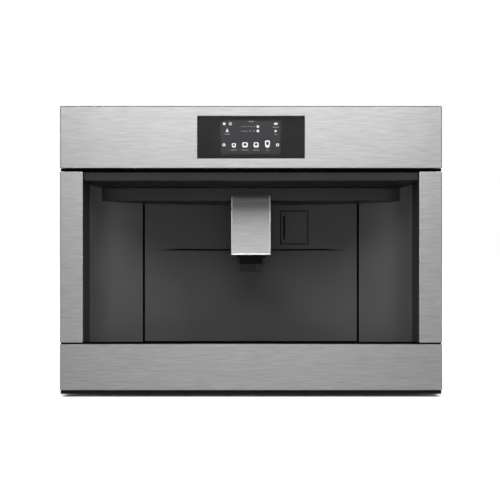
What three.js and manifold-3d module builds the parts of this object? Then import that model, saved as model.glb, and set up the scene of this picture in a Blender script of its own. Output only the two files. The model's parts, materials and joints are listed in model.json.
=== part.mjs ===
// Built-in coffee machine for a 560 mm wide, 450 mm high kitchen cabinet opening.
// A bean-to-cup machine hangs between telescopic runners that stand on the cabinet shelf. One full-width
// front door, hinged on its left, carries the steel trims, the curved black cup niche and the sliding
// spout. The drip tray, the grounds bin and the brewing unit stand behind it.
//
// Millimetres. x runs to the right and z up from the shelf. Inside the exported group y is the depth behind
// the face of the steel front, so every piece is placed by how far it lies behind that face.
import * as THREE from "three";
import { mergeVertices } from "three/addons/utils/BufferGeometryUtils.js";
import Module from "manifold-3d";

const wasm = await Module();
wasm.setup();

// ---------------------------------------------------------------- driving dimensions

const frontWidth = 596;
const machineDepth = 440;
const fit = 0.3; // between pieces that are fixed to each other
const slideFit = 0.4; // between pieces that slide on each other

// The front, from the shelf upwards.
const shelfClearance = 5;
const plinthHeight = 5.8;
const plinthJoint = 0.8;
const lowerFasciaHeight = 71.8;
const lowerJoint = 2.2;
const trimHeight = 266.7;
const upperJoint = 5.6;
const topFasciaHeight = 97.1;

const sheet = 1.6; // steel front sheet
const sheetReturn = 12; // folded edge of the front sheets
const trimInnerReturn = 6; // folded edge of the side trims towards the niche
const trimWidth = 35.5;
const frameEdge = 2; // the frames stand this far in from the steel front's outline
const doorFrameBack = 18;
const flangeFront = 21; // the fixed front flange, which the closed door lies against
const flangeThickness = 3;
const flangeOpening = 3.5; // from the niche walls to the flange's opening, which the door swings through
const cabinetPad = 0.5; // raised pads on the flange's back meet the cabinet's edges
const cabinetPadWidth = 10;

// Display window in the top fascia.
const windowWidth = 167.2;
const windowHeight = 65.9;
const windowBelowTop = 16.1;
const glassThickness = 3;
const glassInset = 0.8;
const screenWidth = 100;
const screenHeight = 58;
const screenThickness = 8;
const screenAboveWindow = 33.4; // the screen's middle above the window's bottom edge

// The niche, seen from above, is half of a squared ellipse behind straight cheeks.
const cheekDepth = 31.3;
const nicheBowl = 114;
const nicheSquareness = 2.5;
const shellWall = 2.5;
const nicheBottom = 57.5; // lower edge of the moulded niche, above the cup grid
const railFace = 5; // the door's top rail, behind the front face
const railDrop = 12; // height of that rail below the trims' top
const ceilingSlope = 3.6;
const ceilingSlopeEnd = 28;
const ceilingThickness = 3;
const canopyHeight = 22;
const canopyFront = 68.9;

// The moulded back of the niche.
const panelHalf = 193.3;
const panelSeam = 3.6;
const panelShell = 3;
const creaseHeight = 230.5; // at eye level, above which the panel stands proud
const scoopDepth = 8;
const scoopHalf = 168;
const moldingClearance = 4.9; // behind the deepest point of the back panel
const rearFrameThickness = 2.5;
const rearFrameWidth = 40;
const bulkheadClearance = 5; // from the door's rear frame to the bulkhead
const bulkheadThickness = 2;

// Door hinge.
const hingeInset = 7; // axis, in from the front's left edge
const hingeDepth = 8;
const hingePinRadius = 2.5;
const hingeFit = 0.3;

// Height-adjustable spout on the door.
const spoutWidth = 67.8;
const spoutFront = 55;
const spoutBack = 106;
const spoutBottom = 221.6;
const spoutAboveCanopy = 10.2; // the cover overlaps the canopy's face by this much
const spoutEdgeRadius = 4;
const spoutCrown = 10; // the sheet turns back over this radius at its top
const nozzleBottom = 193.2;
const guideBottom = 201;

// Hot-water flap in the niche's back.
const flapLeft = 55.2;
const flapRight = 107.5;
const flapBottom = 240.8;
const flapTop = 304.3;
const flapGap = 0.8;
const flapThickness = 2.4;
const flapPinRadius = 1;
const flapHingeInset = 2.2;

// Drip tray and grounds bin.
const trayFloor = 12;
const trayWall = 2;
const trayRim = 47;
const trayInset = 10; // from the niche curve to the tray's side
const gridThickness = 3;
const binHalf = 80;
const binDepth = 157;
const binTop = 58;

// Coffee supply and brewing unit, one behind the other.
const brewBehindBulkhead = 48; // to the brewing chamber's axis
const screwBehindBrew = 40;
const grinderBehindBrew = 96;
const brewLow = 76;
const brewFrameHeight = 218;
const chamberLift = 20; // the lowered chamber above the frame's foot
const chamberHeight = 60;
const pistonGap = 40; // between the lowered chamber and the piston
const screwLead = 20;
const hopperBehindBrew = 10;
const hopperLength = 172;
const hopperHalf = 92;
const hopperHeight = 42; // from its foot to the chassis top
const grinderHeight = 66;
const grinderMotorHeight = 96;
const tankWidth = 100;
const tankLength = 170;
const tankHeight = 200;

// Chassis of sheet steel.
const panel = 1.5;
const chassisClearance = 1; // from the flange's opening to the side panels
const chassisBelowFront = 17;
const panBottom = 5;

// Telescopic runners.
const railWall = 1.2;
const railHeight = 30;
const railMid = 30;
const railFlange = 6;
const railFront = 45;
const railBackInset = 15;
const basePlate = 1.5;

// ---------------------------------------------------------------- levels and planes that follow

const plinthTop = shelfClearance + plinthHeight;
const lowerFasciaBottom = plinthTop + plinthJoint;
const lowerFasciaTop = lowerFasciaBottom + lowerFasciaHeight;
const trimBottom = lowerFasciaTop + lowerJoint;
const trimTop = trimBottom + trimHeight;
const topFasciaBottom = trimTop + upperJoint;
const frontTop = topFasciaBottom + topFasciaHeight;

const frontHalf = frontWidth / 2;
const frameHalf = frontHalf - frameEdge;
const nicheHalf = frontHalf - trimWidth;
const openingHalf = nicheHalf + flangeOpening;
const flangeBack = flangeFront + flangeThickness;
const railBottom = trimTop - railDrop;
const ceilingZ = railBottom - ceilingSlope;
const ceilingTop = ceilingZ + ceilingThickness;
const canopyBottom = ceilingZ - canopyHeight;
const wingEdge = panelHalf + panelSeam;
const moldingBack = wallDepth(0) + scoopDepth + moldingClearance;
const rearFrameBack = moldingBack + fit + rearFrameThickness;
const bulkheadFront = rearFrameBack + bulkheadClearance;
const bulkheadBack = bulkheadFront + bulkheadThickness;
const sideInner = openingHalf + chassisClearance;
const chassisHalf = sideInner + panel;
const chassisTop = frontTop - chassisBelowFront;
const brewY = bulkheadBack + brewBehindBulkhead;
const screwY = brewY + screwBehindBrew;
const grinderY = brewY + grinderBehindBrew;
const brewHigh = brewLow + brewFrameHeight;
const chamberBottom = brewLow + chamberLift;
const hopperFront = brewY + hopperBehindBrew;
const hopperBack = hopperFront + hopperLength;
const hopperFloor = chassisTop - hopperHeight;
const trayFront = flangeFront - 0.5;

// ---------------------------------------------------------------- materials

const finish = (color, roughness, metalness) =>
  new THREE.MeshStandardMaterial({ color, roughness, metalness });
const materials = {
  brushedSteel: finish(0xb8b9ba, 0.34, 1),
  zincSteel: finish(0x9fa3a6, 0.45, 0.9),
  blackShell: finish(0x3c3c3d, 0.5, 0),
  darkTrim: finish(0x1b1b1c, 0.4, 0),
  blackGlass: finish(0x0b0b0c, 0.08, 0),
  screen: finish(0x4a4b4e, 0.3, 0),
  circuit: finish(0x1f5a34, 0.6, 0),
  clearPlastic: finish(0x6d7880, 0.15, 0),
  lightLens: finish(0xf3f1ea, 0.3, 0),
  greyPlastic: finish(0x77797c, 0.5, 0),
  redFloat: finish(0xb3221d, 0.45, 0),
  rubber: finish(0x232324, 0.8, 0),
  aluminium: finish(0xc0c2c4, 0.4, 0.9),
};

// ---------------------------------------------------------------- solids

// A closed three.js geometry as a manifold solid, in the same place.
function solid(geometry) {
  const bare = geometry.clone();
  bare.deleteAttribute("normal");
  bare.deleteAttribute("uv");
  const merged = mergeVertices(bare, 1e-4);
  const index = merged.index.array;
  const triangles = [];
  for (let i = 0; i < index.length; i += 3) {
    const [a, b, c] = [index[i], index[i + 1], index[i + 2]];
    if (a !== b && b !== c && c !== a) triangles.push(a, b, c);
  }
  return new wasm.Manifold(
    new wasm.Mesh({
      numProp: 3,
      vertProperties: merged.attributes.position.array,
      triVerts: new Uint32Array(triangles),
    }),
  );
}

// The geometry of a manifold solid.
function geometryOf(body) {
  const mesh = body.getMesh();
  const positions = new Float32Array(mesh.numVert * 3);
  for (let i = 0; i < mesh.numVert; i++) {
    const at = i * mesh.numProp;
    positions.set(mesh.vertProperties.subarray(at, at + 3), i * 3);
  }
  const geometry = new THREE.BufferGeometry();
  geometry.setAttribute("position", new THREE.BufferAttribute(positions, 3));
  geometry.setIndex(new THREE.BufferAttribute(mesh.triVerts, 1));
  geometry.computeVertexNormals();
  return geometry;
}

// A box between two corners, each pair of limits in either order.
function box([x0, x1], [y0, y1], [z0, z1]) {
  const geometry = new THREE.BoxGeometry(
    Math.abs(x1 - x0),
    Math.abs(y1 - y0),
    Math.abs(z1 - z0),
  );
  geometry.translate((x0 + x1) / 2, (y0 + y1) / 2, (z0 + z1) / 2);
  return solid(geometry);
}

// A box whose top and bottom rectangles differ. Each is [[x0, x1], [y0, y1], z].
function taperedBox(bottom, top) {
  const geometry = new THREE.BoxGeometry(1, 1, 1);
  const position = geometry.attributes.position;
  for (let i = 0; i < position.count; i++) {
    const [xs, ys, z] = position.getZ(i) > 0 ? top : bottom;
    const x = position.getX(i) > 0 ? xs[1] : xs[0];
    const y = position.getY(i) > 0 ? ys[1] : ys[0];
    position.setXYZ(i, x, y, z);
  }
  return solid(geometry);
}

// An upright cylinder, or a cone where the radii differ.
function post(x, y, [z0, z1], radius, sides = 24, topRadius = radius) {
  const geometry = new THREE.CylinderGeometry(topRadius, radius, z1 - z0, sides);
  geometry.rotateX(Math.PI / 2);
  geometry.translate(x, y, (z0 + z1) / 2);
  return solid(geometry);
}

// A cylinder along x.
function barX([x0, x1], y, z, radius, sides = 24) {
  const geometry = new THREE.CylinderGeometry(radius, radius, x1 - x0, sides);
  geometry.rotateZ(Math.PI / 2);
  geometry.translate((x0 + x1) / 2, y, z);
  return solid(geometry);
}

// A cylinder along y.
function barY(x, [y0, y1], z, radius, sides = 24) {
  const geometry = new THREE.CylinderGeometry(radius, radius, y1 - y0, sides);
  geometry.translate(x, (y0 + y1) / 2, z);
  return solid(geometry);
}

const outline = (points) => new THREE.Shape(points.map(([x, y]) => new THREE.Vector2(x, y)));

// A plan outline of (x, y) points, extruded upwards.
function upright(points, [z0, z1]) {
  const options = { depth: z1 - z0, bevelEnabled: false };
  const geometry = new THREE.ExtrudeGeometry(outline(points), options);
  geometry.translate(0, 0, z0);
  return solid(geometry);
}

// A side outline of (y, z) points, extruded along x.
function crosswise(points, [x0, x1]) {
  const options = { depth: x1 - x0, bevelEnabled: false };
  const geometry = new THREE.ExtrudeGeometry(outline(points), options);
  const [x, y, z] = [new THREE.Vector3(1), new THREE.Vector3(0, 1), new THREE.Vector3(0, 0, 1)];
  geometry.applyMatrix4(new THREE.Matrix4().makeBasis(y, z, x));
  geometry.translate(x0, 0, 0);
  return solid(geometry);
}

const union = (first, ...rest) => rest.reduce((all, piece) => all.add(piece), first);
const less = (first, ...cuts) => cuts.reduce((left, cut) => left.subtract(cut), first);
const mirrored = ([x, y]) => [-x, y];

// A band of the given thickness on the right-hand side of a line of points, with mitred corners.
function band(line, thickness) {
  const normals = line.slice(1).map(([x, y], i) => {
    const [dx, dy] = [x - line[i][0], y - line[i][1]];
    const length = Math.hypot(dx, dy);
    return [dy / length, -dx / length];
  });
  const side = line.map(([x, y], i) => {
    const [ax, ay] = normals[Math.max(0, i - 1)];
    const [bx, by] = normals[Math.min(normals.length - 1, i)];
    const share = thickness / (1 + ax * bx + ay * by);
    return [x + (ax + bx) * share, y + (ay + by) * share];
  });
  return [...line, ...side.reverse()];
}

// ---------------------------------------------------------------- the curved niche wall

// Depth of the niche wall behind the front at a given x, with the wall brought in by an inset.
function wallDepth(x, inset = 0) {
  const share = Math.min(1, Math.abs(x) / (nicheHalf - inset));
  return cheekDepth + (nicheBowl - inset) * (1 - share ** nicheSquareness) ** (1 / nicheSquareness);
}

// The x at which the wall lies at a given depth.
function wallReach(depth, inset = 0) {
  const share = (depth - cheekDepth) / (nicheBowl - inset);
  return (nicheHalf - inset) * (1 - share ** nicheSquareness) ** (1 / nicheSquareness);
}

// Points on the wall from x = from to x = to, closer together where it curves more.
function wallLine(from, to, count, inset = 0, deeper = () => 0) {
  const reach = nicheHalf - inset;
  const angle = (x) => Math.acos(Math.min(1, Math.abs(x) / reach) ** (nicheSquareness / 2));
  const turn = (x) => (x >= 0 ? angle(x) : Math.PI - angle(x));
  const [start, end] = [turn(from), turn(to)];
  return Array.from({ length: count + 1 }, (_, i) => {
    const t = start + ((end - start) * i) / count;
    const x = reach * Math.sign(Math.cos(t)) * Math.abs(Math.cos(t)) ** (2 / nicheSquareness);
    const placed = i === 0 ? from : i === count ? to : x;
    return [placed, wallDepth(placed, inset) + deeper(placed)];
  });
}

const scoop = (x) => scoopDepth * Math.max(0, 1 - (x / scoopHalf) ** 2);

// ---------------------------------------------------------------- scene graph

const object = new THREE.Group();
object.position.y = -machineDepth / 2;

function group(parent) {
  const made = new THREE.Group();
  parent.add(made);
  return made;
}

const runnerBase = group(object);
const machine = group(object);
const door = group(machine);
const spout = group(door);
const tank = group(machine);

function place(parent, name, body, material) {
  const mesh = new THREE.Mesh(geometryOf(body), material);
  mesh.name = name;
  parent.add(mesh);
  return mesh;
}

// The right-hand piece as built, and the left-hand one as its mirror image.
function placePair(parent, name, body, material) {
  place(parent, `${name}_right`, body, material);
  const left = place(parent, `${name}_left`, body, material).geometry;
  left.scale(-1, 1, 1);
  left.index.array.reverse();
  left.computeVertexNormals();
}

// ---------------------------------------------------------------- runners and shelf plate

const railBack = machineDepth - railBackInset;
const railLow = railMid - railHeight / 2;
const railHigh = railMid + railHeight / 2;
const innerWeb = chassisHalf + fit;
const railStep = slideFit + railWall;
const middleWeb = innerWeb + railWall + railFlange + slideFit;
const outerWeb = middleWeb + railStep;

// A channel from web to lips. The web stands at x = web and the flanges run towards x = lip.
function channel(web, lip, zs, ys) {
  const wallIn = web < lip ? railWall : -railWall;
  const inner = box([web + wallIn, lip + wallIn], ys, [zs[0] + railWall, zs[1] - railWall]);
  return less(box([web, lip], ys, zs), inner);
}

function runners() {
  const ys = [railFront, railBack];
  const levels = (step) => [railLow - step * railStep, railHigh + step * railStep];
  const inner = channel(innerWeb, innerWeb + railFlange, levels(0), ys);
  const middle = channel(middleWeb, middleWeb - railFlange, levels(1), ys);
  placePair(machine, "inner_runner", inner, materials.zincSteel);
  placePair(object, "middle_runner", middle, materials.zincSteel);

  // The outer channels are welded to a plate that is screwed to the shelf.
  const strap = 46;
  const shelfScrewRadius = 2.5;
  const plate = box([-outerWeb, outerWeb], ys, [0, basePlate]);
  const through = [-1, basePlate + 1];
  const window = box([strap - outerWeb, outerWeb - strap], [ys[0] + strap, ys[1] - strap], through);
  const screws = [-1, 1].flatMap((side) =>
    [ys[0] + strap / 2, ys[1] - strap / 2].map((y) =>
      post(side * (outerWeb - strap / 2), y, through, shelfScrewRadius, 12),
    ),
  );
  const rails = [-1, 1].flatMap((side) => [
    channel(side * outerWeb, side * (outerWeb - railFlange - railStep), levels(2), ys),
    box([side * (outerWeb - railWall), side * outerWeb], ys, [0, levels(2)[0] + railWall]),
  ]);
  place(runnerBase, "cabinet_runners", less(union(plate, ...rails), window, ...screws), materials.zincSteel);
}

// ---------------------------------------------------------------- chassis

const innerHalf = sideInner - fit;
const rearFront = machineDepth - panel;
const panTop = panBottom + panel;
const chassisFront = flangeBack + fit;
const coverTop = chassisTop + fit + panel;
const accessHalf = 60; // half the bulkhead's opening for the brewing unit
const accessLow = brewLow - 4;
const accessHigh = brewHigh + 4;

function chassis() {
  const side = box([sideInner, chassisHalf], [chassisFront, machineDepth], [panBottom, chassisTop]);
  placePair(machine, "side_panel", side, materials.zincSteel);

  const deep = [rearFront - 1, machineDepth + 1];
  const [ventHalf, ventLow, ventHeight, ventPitch] = [90, 300, 5, 14];
  const vents = Array.from({ length: 7 }, (_, i) =>
    box([-ventHalf, ventHalf], deep, [ventLow + ventPitch * i, ventLow + ventHeight + ventPitch * i]),
  );
  const inletHole = box(
    [inletX - inletHalf - fit, inletX + inletHalf + fit],
    deep,
    [inletZ - inletRise - fit, inletZ + inletRise + fit],
  );
  const switchHole = box(
    [switchX - switchHalf - fit, switchX + switchHalf + fit],
    deep,
    [inletZ - switchRise - rockerSwing, inletZ + switchRise + rockerSwing],
  );
  const rear = box([-innerHalf, innerHalf], [rearFront, machineDepth], [panBottom, chassisTop]);
  place(machine, "rear_panel", less(rear, ...vents, inletHole, switchHole), materials.zincSteel);

  const floor = box([-innerHalf, innerHalf], [chassisFront, rearFront - fit], [panBottom, panTop]);
  const ribs = [-1, 1].map((sign) =>
    box([sign * 55, sign * 65], [chassisFront + 8, binBack + 6], [panBottom, trayFloor - fit]),
  );
  place(machine, "chassis_pan", union(floor, ...ribs), materials.zincSteel);

  const wall = box(
    [-innerHalf, innerHalf],
    [bulkheadFront, bulkheadBack],
    [panTop + fit, chassisTop],
  );
  const through = [bulkheadFront - 1, bulkheadBack + 1];
  const access = box([-accessHalf, accessHalf], through, [accessLow, accessHigh]);
  const binGap = 12; // beside the bin
  const bin = box([-binHalf - binGap, binHalf + binGap], through, [panTop - 1, binTop + 2.5]);
  place(machine, "front_bulkhead", less(wall, access, bin), materials.zincSteel);

  const cover = box(
    [-chassisHalf, chassisHalf],
    [chassisFront, machineDepth],
    [chassisTop + fit, coverTop],
  );
  const lift = [chassisTop, coverTop + 1];
  const hopperHole = box(
    [-hopperHalf - 1, hopperHalf + 1],
    [hopperFront - 1, hopperBack + 1],
    lift,
  );
  const tankHole = box([tankLeft - 2, tankRight + 2], [tankFront - 3, tankBack + 3], lift);
  const knobHole = post(knobX, knobY, lift, knobShaft + 0.6, 16);
  place(machine, "top_cover", less(cover, hopperHole, tankHole, knobHole), materials.zincSteel);
}

// ---------------------------------------------------------------- fixed front: flange, fascia and display

const windowTop = frontTop - windowBelowTop;
const windowBottom = windowTop - windowHeight;
const windowHalf = windowWidth / 2;
const screenMid = windowBottom + screenAboveWindow;
const glassFront = glassInset;
const seatFront = glassFront + glassThickness + fit;
const carrierFront = sheetReturn + fit;
const hingeX = hingeInset - frontHalf;
const hingeBore = (zs, radius = hingePinRadius + hingeFit) => post(hingeX, hingeDepth, zs, radius, 16);
const insideHalf = frontHalf - sheet;

function fixedFront() {
  const plate = box(
    [-frameHalf, frameHalf],
    [flangeFront, flangeBack],
    [shelfClearance, frontTop - frameEdge],
  );
  const carrier = box(
    [-frameHalf, frameHalf],
    [carrierFront, flangeFront + 1],
    [topFasciaBottom + frameEdge, frontTop - frameEdge],
  );
  const seat = box(
    [-windowHalf - 6, windowHalf + 6],
    [seatFront, carrierFront + 1],
    [windowBottom - 6, windowTop + 6],
  );
  const hingeBlock = box(
    [-insideHalf + fit, hingeX + 9],
    [sheet + fit, carrierFront + 1],
    [topFasciaBottom + sheet + fit, topFasciaBottom + 16],
  );
  const opening = box([-openingHalf, openingHalf], [0, flangeBack + 1], [trayFloor - 0.5, trimTop + 1.7]);
  const lightening = [-1, 1].map((side) =>
    box([side * 130, side * 270], [0, flangeBack + 1], [topFasciaBottom + 16, frontTop - 14]),
  );
  const pads = [-1, 1].map((side) =>
    box(
      [side * (frameHalf - 2 - cabinetPadWidth), side * (frameHalf - 2)],
      [flangeBack - 1, flangeBack + cabinetPad],
      [shelfClearance + 7, frontTop - frameEdge - 7],
    ),
  );
  const pocket = box(
    [-screenWidth / 2 - fit, screenWidth / 2 + fit],
    [0, seatFront + screenThickness + fit],
    [screenMid - screenHeight / 2 - fit, screenMid + screenHeight / 2 + fit],
  );
  const cableSlot = box([-20, 20], [seatFront, flangeBack + 1], [screenMid - 5, screenMid + 5]);
  const pinBore = hingeBore([topFasciaBottom, topFasciaBottom + 13]);
  const whole = union(plate, carrier, seat, hingeBlock, ...pads);
  const cuts = [opening, ...lightening, pocket, cableSlot, pinBore];
  place(machine, "front_frame", less(whole, ...cuts), materials.darkTrim);

  const pan = box([-frontHalf, frontHalf], [0, sheetReturn], [topFasciaBottom, frontTop]);
  const hollow = box(
    [-insideHalf, insideHalf],
    [sheet, sheetReturn + 1],
    [topFasciaBottom + sheet, frontTop - sheet],
  );
  const glassHole = box(
    [-windowHalf - fit, windowHalf + fit],
    [-1, sheet + 1],
    [windowBottom - fit, windowTop + fit],
  );
  const pinHole = hingeBore([topFasciaBottom - 1, topFasciaBottom + sheet + 1]);
  place(machine, "top_fascia", less(pan, hollow, glassHole, pinHole), materials.brushedSteel);

  const glass = box(
    [-windowHalf, windowHalf],
    [glassFront, glassFront + glassThickness],
    [windowBottom, windowTop],
  );
  place(machine, "display_glass", glass, materials.blackGlass);
  const screen = box(
    [-screenWidth / 2, screenWidth / 2],
    [seatFront, seatFront + screenThickness],
    [screenMid - screenHeight / 2, screenMid + screenHeight / 2],
  );
  place(machine, "touch_display", screen, materials.screen);

  const boardMid = (topFasciaBottom + chassisTop) / 2;
  const boardFront = flangeBack + fit;
  const board = box([-110, 110], [boardFront, boardFront + 1.6], [boardMid - 30, boardMid + 30]);
  const chips = [[-70, 10], [0, 17], [64, 13]].map(([x, half]) =>
    box([x - half, x + half], [boardFront + 1, boardFront + 8], [boardMid - half, boardMid + half]),
  );
  place(machine, "control_board", union(board, ...chips), materials.circuit);

  const strip = box([-frameHalf, frameHalf], [3, flangeFront - fit], [shelfClearance, plinthTop]);
  const stripBore = hingeBore([shelfClearance + 1.5, plinthTop + 1]);
  place(machine, "plinth_strip", less(strip, stripBore), materials.darkTrim);

  const pin = (zs) => post(hingeX, hingeDepth, zs, hingePinRadius, 16);
  place(machine, "lower_hinge_pin", pin([shelfClearance + 1.8, lowerFasciaBottom + 16]), materials.zincSteel);
  place(machine, "upper_hinge_pin", pin([trimTop - 14, topFasciaBottom + 12.5]), materials.zincSteel);
}

// ---------------------------------------------------------------- door: frame and steel trims

const doorOpeningHalf = nicheHalf + shellWall + fit;

function doorFrame() {
  const plateFront = sheetReturn + fit;
  const plate = box(
    [-frameHalf, frameHalf],
    [plateFront, doorFrameBack],
    [lowerFasciaBottom + 1, trimTop - fit],
  );
  const posts = [-1, 1].map((side) =>
    box(
      [side * doorOpeningHalf, side * (insideHalf - fit)],
      [sheet + fit, plateFront + 1],
      [trimBottom + sheet + fit, trimTop - sheet - fit],
    ),
  );
  const bar = box(
    [-insideHalf + fit, insideHalf - fit],
    [sheet + fit, plateFront + 1],
    [lowerFasciaBottom + sheet + fit, lowerFasciaTop - sheet - fit],
  );
  const rail = box(
    [fit - nicheHalf, nicheHalf - fit],
    [railFace, plateFront + 1],
    [railBottom, trimTop - fit],
  );
  const opening = box(
    [-doorOpeningHalf, doorOpeningHalf],
    [plateFront - 1, doorFrameBack + 1],
    [lowerFasciaTop - 0.8, railBottom],
  );
  const bores = [
    hingeBore([lowerFasciaBottom, lowerFasciaBottom + 17]),
    hingeBore([trimTop - 15, trimTop + 1]),
  ];
  const whole = union(less(plate, opening), ...posts, bar, rail);
  place(door, "door_frame", less(whole, ...bores), materials.darkTrim);
}

function doorSteel() {
  const pan = box([-frontHalf, frontHalf], [0, sheetReturn], [lowerFasciaBottom, lowerFasciaTop]);
  const hollow = box(
    [-insideHalf, insideHalf],
    [sheet, sheetReturn + 1],
    [lowerFasciaBottom + sheet, lowerFasciaTop - sheet],
  );
  const pinHole = hingeBore([lowerFasciaBottom - 1, lowerFasciaBottom + sheet + 1]);
  place(door, "lower_fascia", less(pan, hollow, pinHole), materials.brushedSteel);

  for (const [name, side] of [["right", 1], ["left", -1]]) {
    const trim = box([side * nicheHalf, side * frontHalf], [0, sheetReturn], [trimBottom, trimTop]);
    const inside = box(
      [side * (nicheHalf + sheet), side * insideHalf],
      [sheet, sheetReturn + 1],
      [trimBottom + sheet, trimTop - sheet],
    );
    const shorter = box(
      [side * (nicheHalf - 1), side * doorOpeningHalf],
      [trimInnerReturn, sheetReturn + 1],
      [trimBottom - 1, trimTop + 1],
    );
    const pinBore = hingeBore([trimTop - sheet - 1, trimTop + 1]);
    place(door, `side_trim_${name}`, less(trim, inside, shorter, pinBore), materials.brushedSteel);
  }
}

// ---------------------------------------------------------------- door: niche

function nicheShell() {
  const wing = [
    [nicheHalf, trimInnerReturn + fit],
    ...wallLine(nicheHalf, wingEdge, 14),
    [wingEdge, moldingBack],
  ];
  const footing = box(
    [0, frontHalf],
    [0, doorFrameBack + fit],
    [0, lowerFasciaTop + fit],
  );
  const shell = less(upright(band(wing, shellWall), [nicheBottom, railBottom - fit]), footing);
  placePair(door, "niche_wing", shell, materials.blackShell);

  const half = [[nicheHalf - fit, 0], ...wallLine(nicheHalf - fit - 0.01, 0, 16, fit)];
  const plan = [...half, ...half.slice(0, -1).map(mirrored).reverse()];
  const profile = [
    [railFace + fit, railBottom - fit - 0.6],
    [ceilingSlopeEnd, ceilingZ],
    [moldingBack, ceilingZ],
    [moldingBack, ceilingTop],
    [ceilingSlopeEnd, ceilingTop],
    [railFace + fit, railBottom - fit],
  ];
  const ceiling = upright(plan, [ceilingZ - 5, ceilingTop + 5]).intersect(
    crosswise(profile, [-nicheHalf, nicheHalf]),
  );
  place(door, "niche_ceiling", ceiling, materials.darkTrim);
}

const canopySeat = 1.2; // from the canopy to the niche walls

// Plan of the light canopy, drawn in by an inset on all sides.
function canopyPlan(inset) {
  const front = canopyFront + inset;
  const behind = canopySeat + inset;
  const half = wallLine(wallReach(front, behind), 0, 14, behind);
  return [...half, ...half.slice(0, -1).map(mirrored).reverse()];
}

const lampWidth = 300;
const lampFront = canopyFront + 13.1;
const lampDepth = 10;

function canopy() {
  const outer = upright(canopyPlan(0), [canopyBottom, ceilingZ - fit]);
  const hollow = upright(canopyPlan(shellWall), [canopyBottom + shellWall, ceilingZ + 1]);
  const lamp = (gap, zs) =>
    box([gap - lampWidth / 2, lampWidth / 2 - gap], [lampFront + gap, lampFront + lampDepth - gap], zs);
  const hole = lamp(0, [canopyBottom - 1, canopyBottom + shellWall + 1]);
  place(door, "light_canopy", less(outer, hollow, hole), materials.darkTrim);
  place(door, "niche_light", lamp(fit, [canopyBottom + 0.4, canopyBottom + shellWall]), materials.lightLens);
}

// The flap's hinge line stands just inside its right-hand edge.
const flapHingeX = flapRight - flapHingeInset;
const flapHingeY = wallDepth(flapHingeX) + 1.5;
const panelTop = ceilingZ - fit;
const eyeHeight = 230.2;
const underGapSlope = 141.8; // drop below eye level of the panel's lower edge, seen at the front plane
const viewDistance = 700;

// Height of the panel's lower edge, which rises towards its sides so that it reads as level from in front.
function panelBottom(x) {
  return eyeHeight - underGapSlope * (1 + (wallDepth(x) + scoop(x)) / viewDistance);
}

function backPanel() {
  const upper = wallLine(panelHalf, -panelHalf, 30);
  const lower = wallLine(panelHalf, -panelHalf, 30, 0, scoop);
  const low = panelBottom(0) - 1;
  const upperShell = upright(band(upper, panelShell), [creaseHeight, panelTop]);
  const lowerShell = upright(band(lower, panelShell), [low, creaseHeight]);
  const slab = (line) => [...line, [-panelHalf, moldingBack], [panelHalf, moldingBack]];
  const shelf = upright(slab(upper), [creaseHeight, creaseHeight + panelShell]);
  const topRib = upright(slab(upper), [panelTop - panelShell, panelTop]);
  const bottomRib = upright(slab(lower), [low, panelBottom(panelHalf) + panelShell]);
  const sides = [-1, 1].map((side) =>
    box(
      [side * (panelHalf - panelShell), side * panelHalf],
      [wallDepth(panelHalf), moldingBack],
      [low, panelTop],
    ),
  );
  const bosses = [[flapBottom - 7, flapBottom], [flapTop, flapTop + 7]].map((zs) =>
    box([flapHingeX - 4, flapHingeX + 4], [flapHingeY - 0.5, flapHingeY + 4], zs),
  );

  const edge = Array.from({ length: 17 }, (_, i) => {
    const x = (panelHalf + 1) * (1 - i / 8);
    return [x, panelBottom(x)];
  });
  const below = [...edge, [-panelHalf - 1, low - 1], [panelHalf + 1, low - 1]];
  const depth = moldingBack + 10;
  const underCut = new THREE.ExtrudeGeometry(outline(below), { depth, bevelEnabled: false });
  underCut.rotateX(Math.PI / 2);
  underCut.translate(0, depth, 0);
  const flapHole = box([flapLeft, flapRight], [cheekDepth, moldingBack], [flapBottom, flapTop]);
  const flapBore = post(flapHingeX, flapHingeY, [flapBottom - 2, flapTop + 2], flapPinRadius + 0.15, 12);
  const whole = union(upperShell, lowerShell, shelf, topRib, bottomRib, ...sides, ...bosses);
  place(door, "niche_back_panel", less(whole, solid(underCut), flapHole, flapBore), materials.blackShell);

  const rearY = [moldingBack + fit, rearFrameBack];
  const rearHalf = wingEdge + shellWall + 8;
  const rearLow = panelBottom(panelHalf) + 2;
  const nozzleX = (flapLeft + flapRight) / 2;
  const nozzleZ = (flapBottom + flapTop) / 2;
  const windows = [[rearLow + 30, nozzleZ - 15], [nozzleZ + 15, panelTop - 30]].map((zs) =>
    box([rearFrameWidth - rearHalf, rearHalf - rearFrameWidth], [rearY[0] - 1, rearY[1] + 1], zs),
  );
  const rear = less(box([-rearHalf, rearHalf], rearY, [rearLow, panelTop]), ...windows);
  place(door, "door_rear_frame", rear, materials.zincSteel);

  const nozzleTip = wallDepth(nozzleX) + flapThickness + 2.8;
  const nozzleFlange = moldingBack - 4.2;
  const [nozzleRadius, flangeRadius, boreRadius] = [5, 9, 2.5];
  const nozzle = less(
    union(
      barY(nozzleX, [nozzleTip, moldingBack], nozzleZ, nozzleRadius, 20),
      barY(nozzleX, [nozzleFlange, moldingBack], nozzleZ, flangeRadius, 20),
    ),
    barY(nozzleX, [nozzleTip - 1, nozzleFlange], nozzleZ, boreRadius, 12),
  );
  place(door, "hot_water_nozzle", nozzle, materials.aluminium);
}

function hotWaterFlap() {
  const line = wallLine(flapRight - flapGap, flapLeft + flapGap, 5);
  const leaf = upright(band(line, flapThickness), [flapBottom + flapGap, flapTop - flapGap]);
  const pin = post(flapHingeX, flapHingeY, [flapBottom - 1.5, flapTop + 1.5], flapPinRadius, 12);
  const pullX = flapLeft + 7.4;
  const pullY = [cheekDepth, wallDepth(pullX) + flapThickness - 1];
  const pull = box([pullX - 1, pullX + 1], pullY, [flapBottom + 9.2, flapTop - 9.3]);
  place(group(door), "hot_water_flap", less(union(leaf, pin), pull), materials.blackShell);
}

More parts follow.
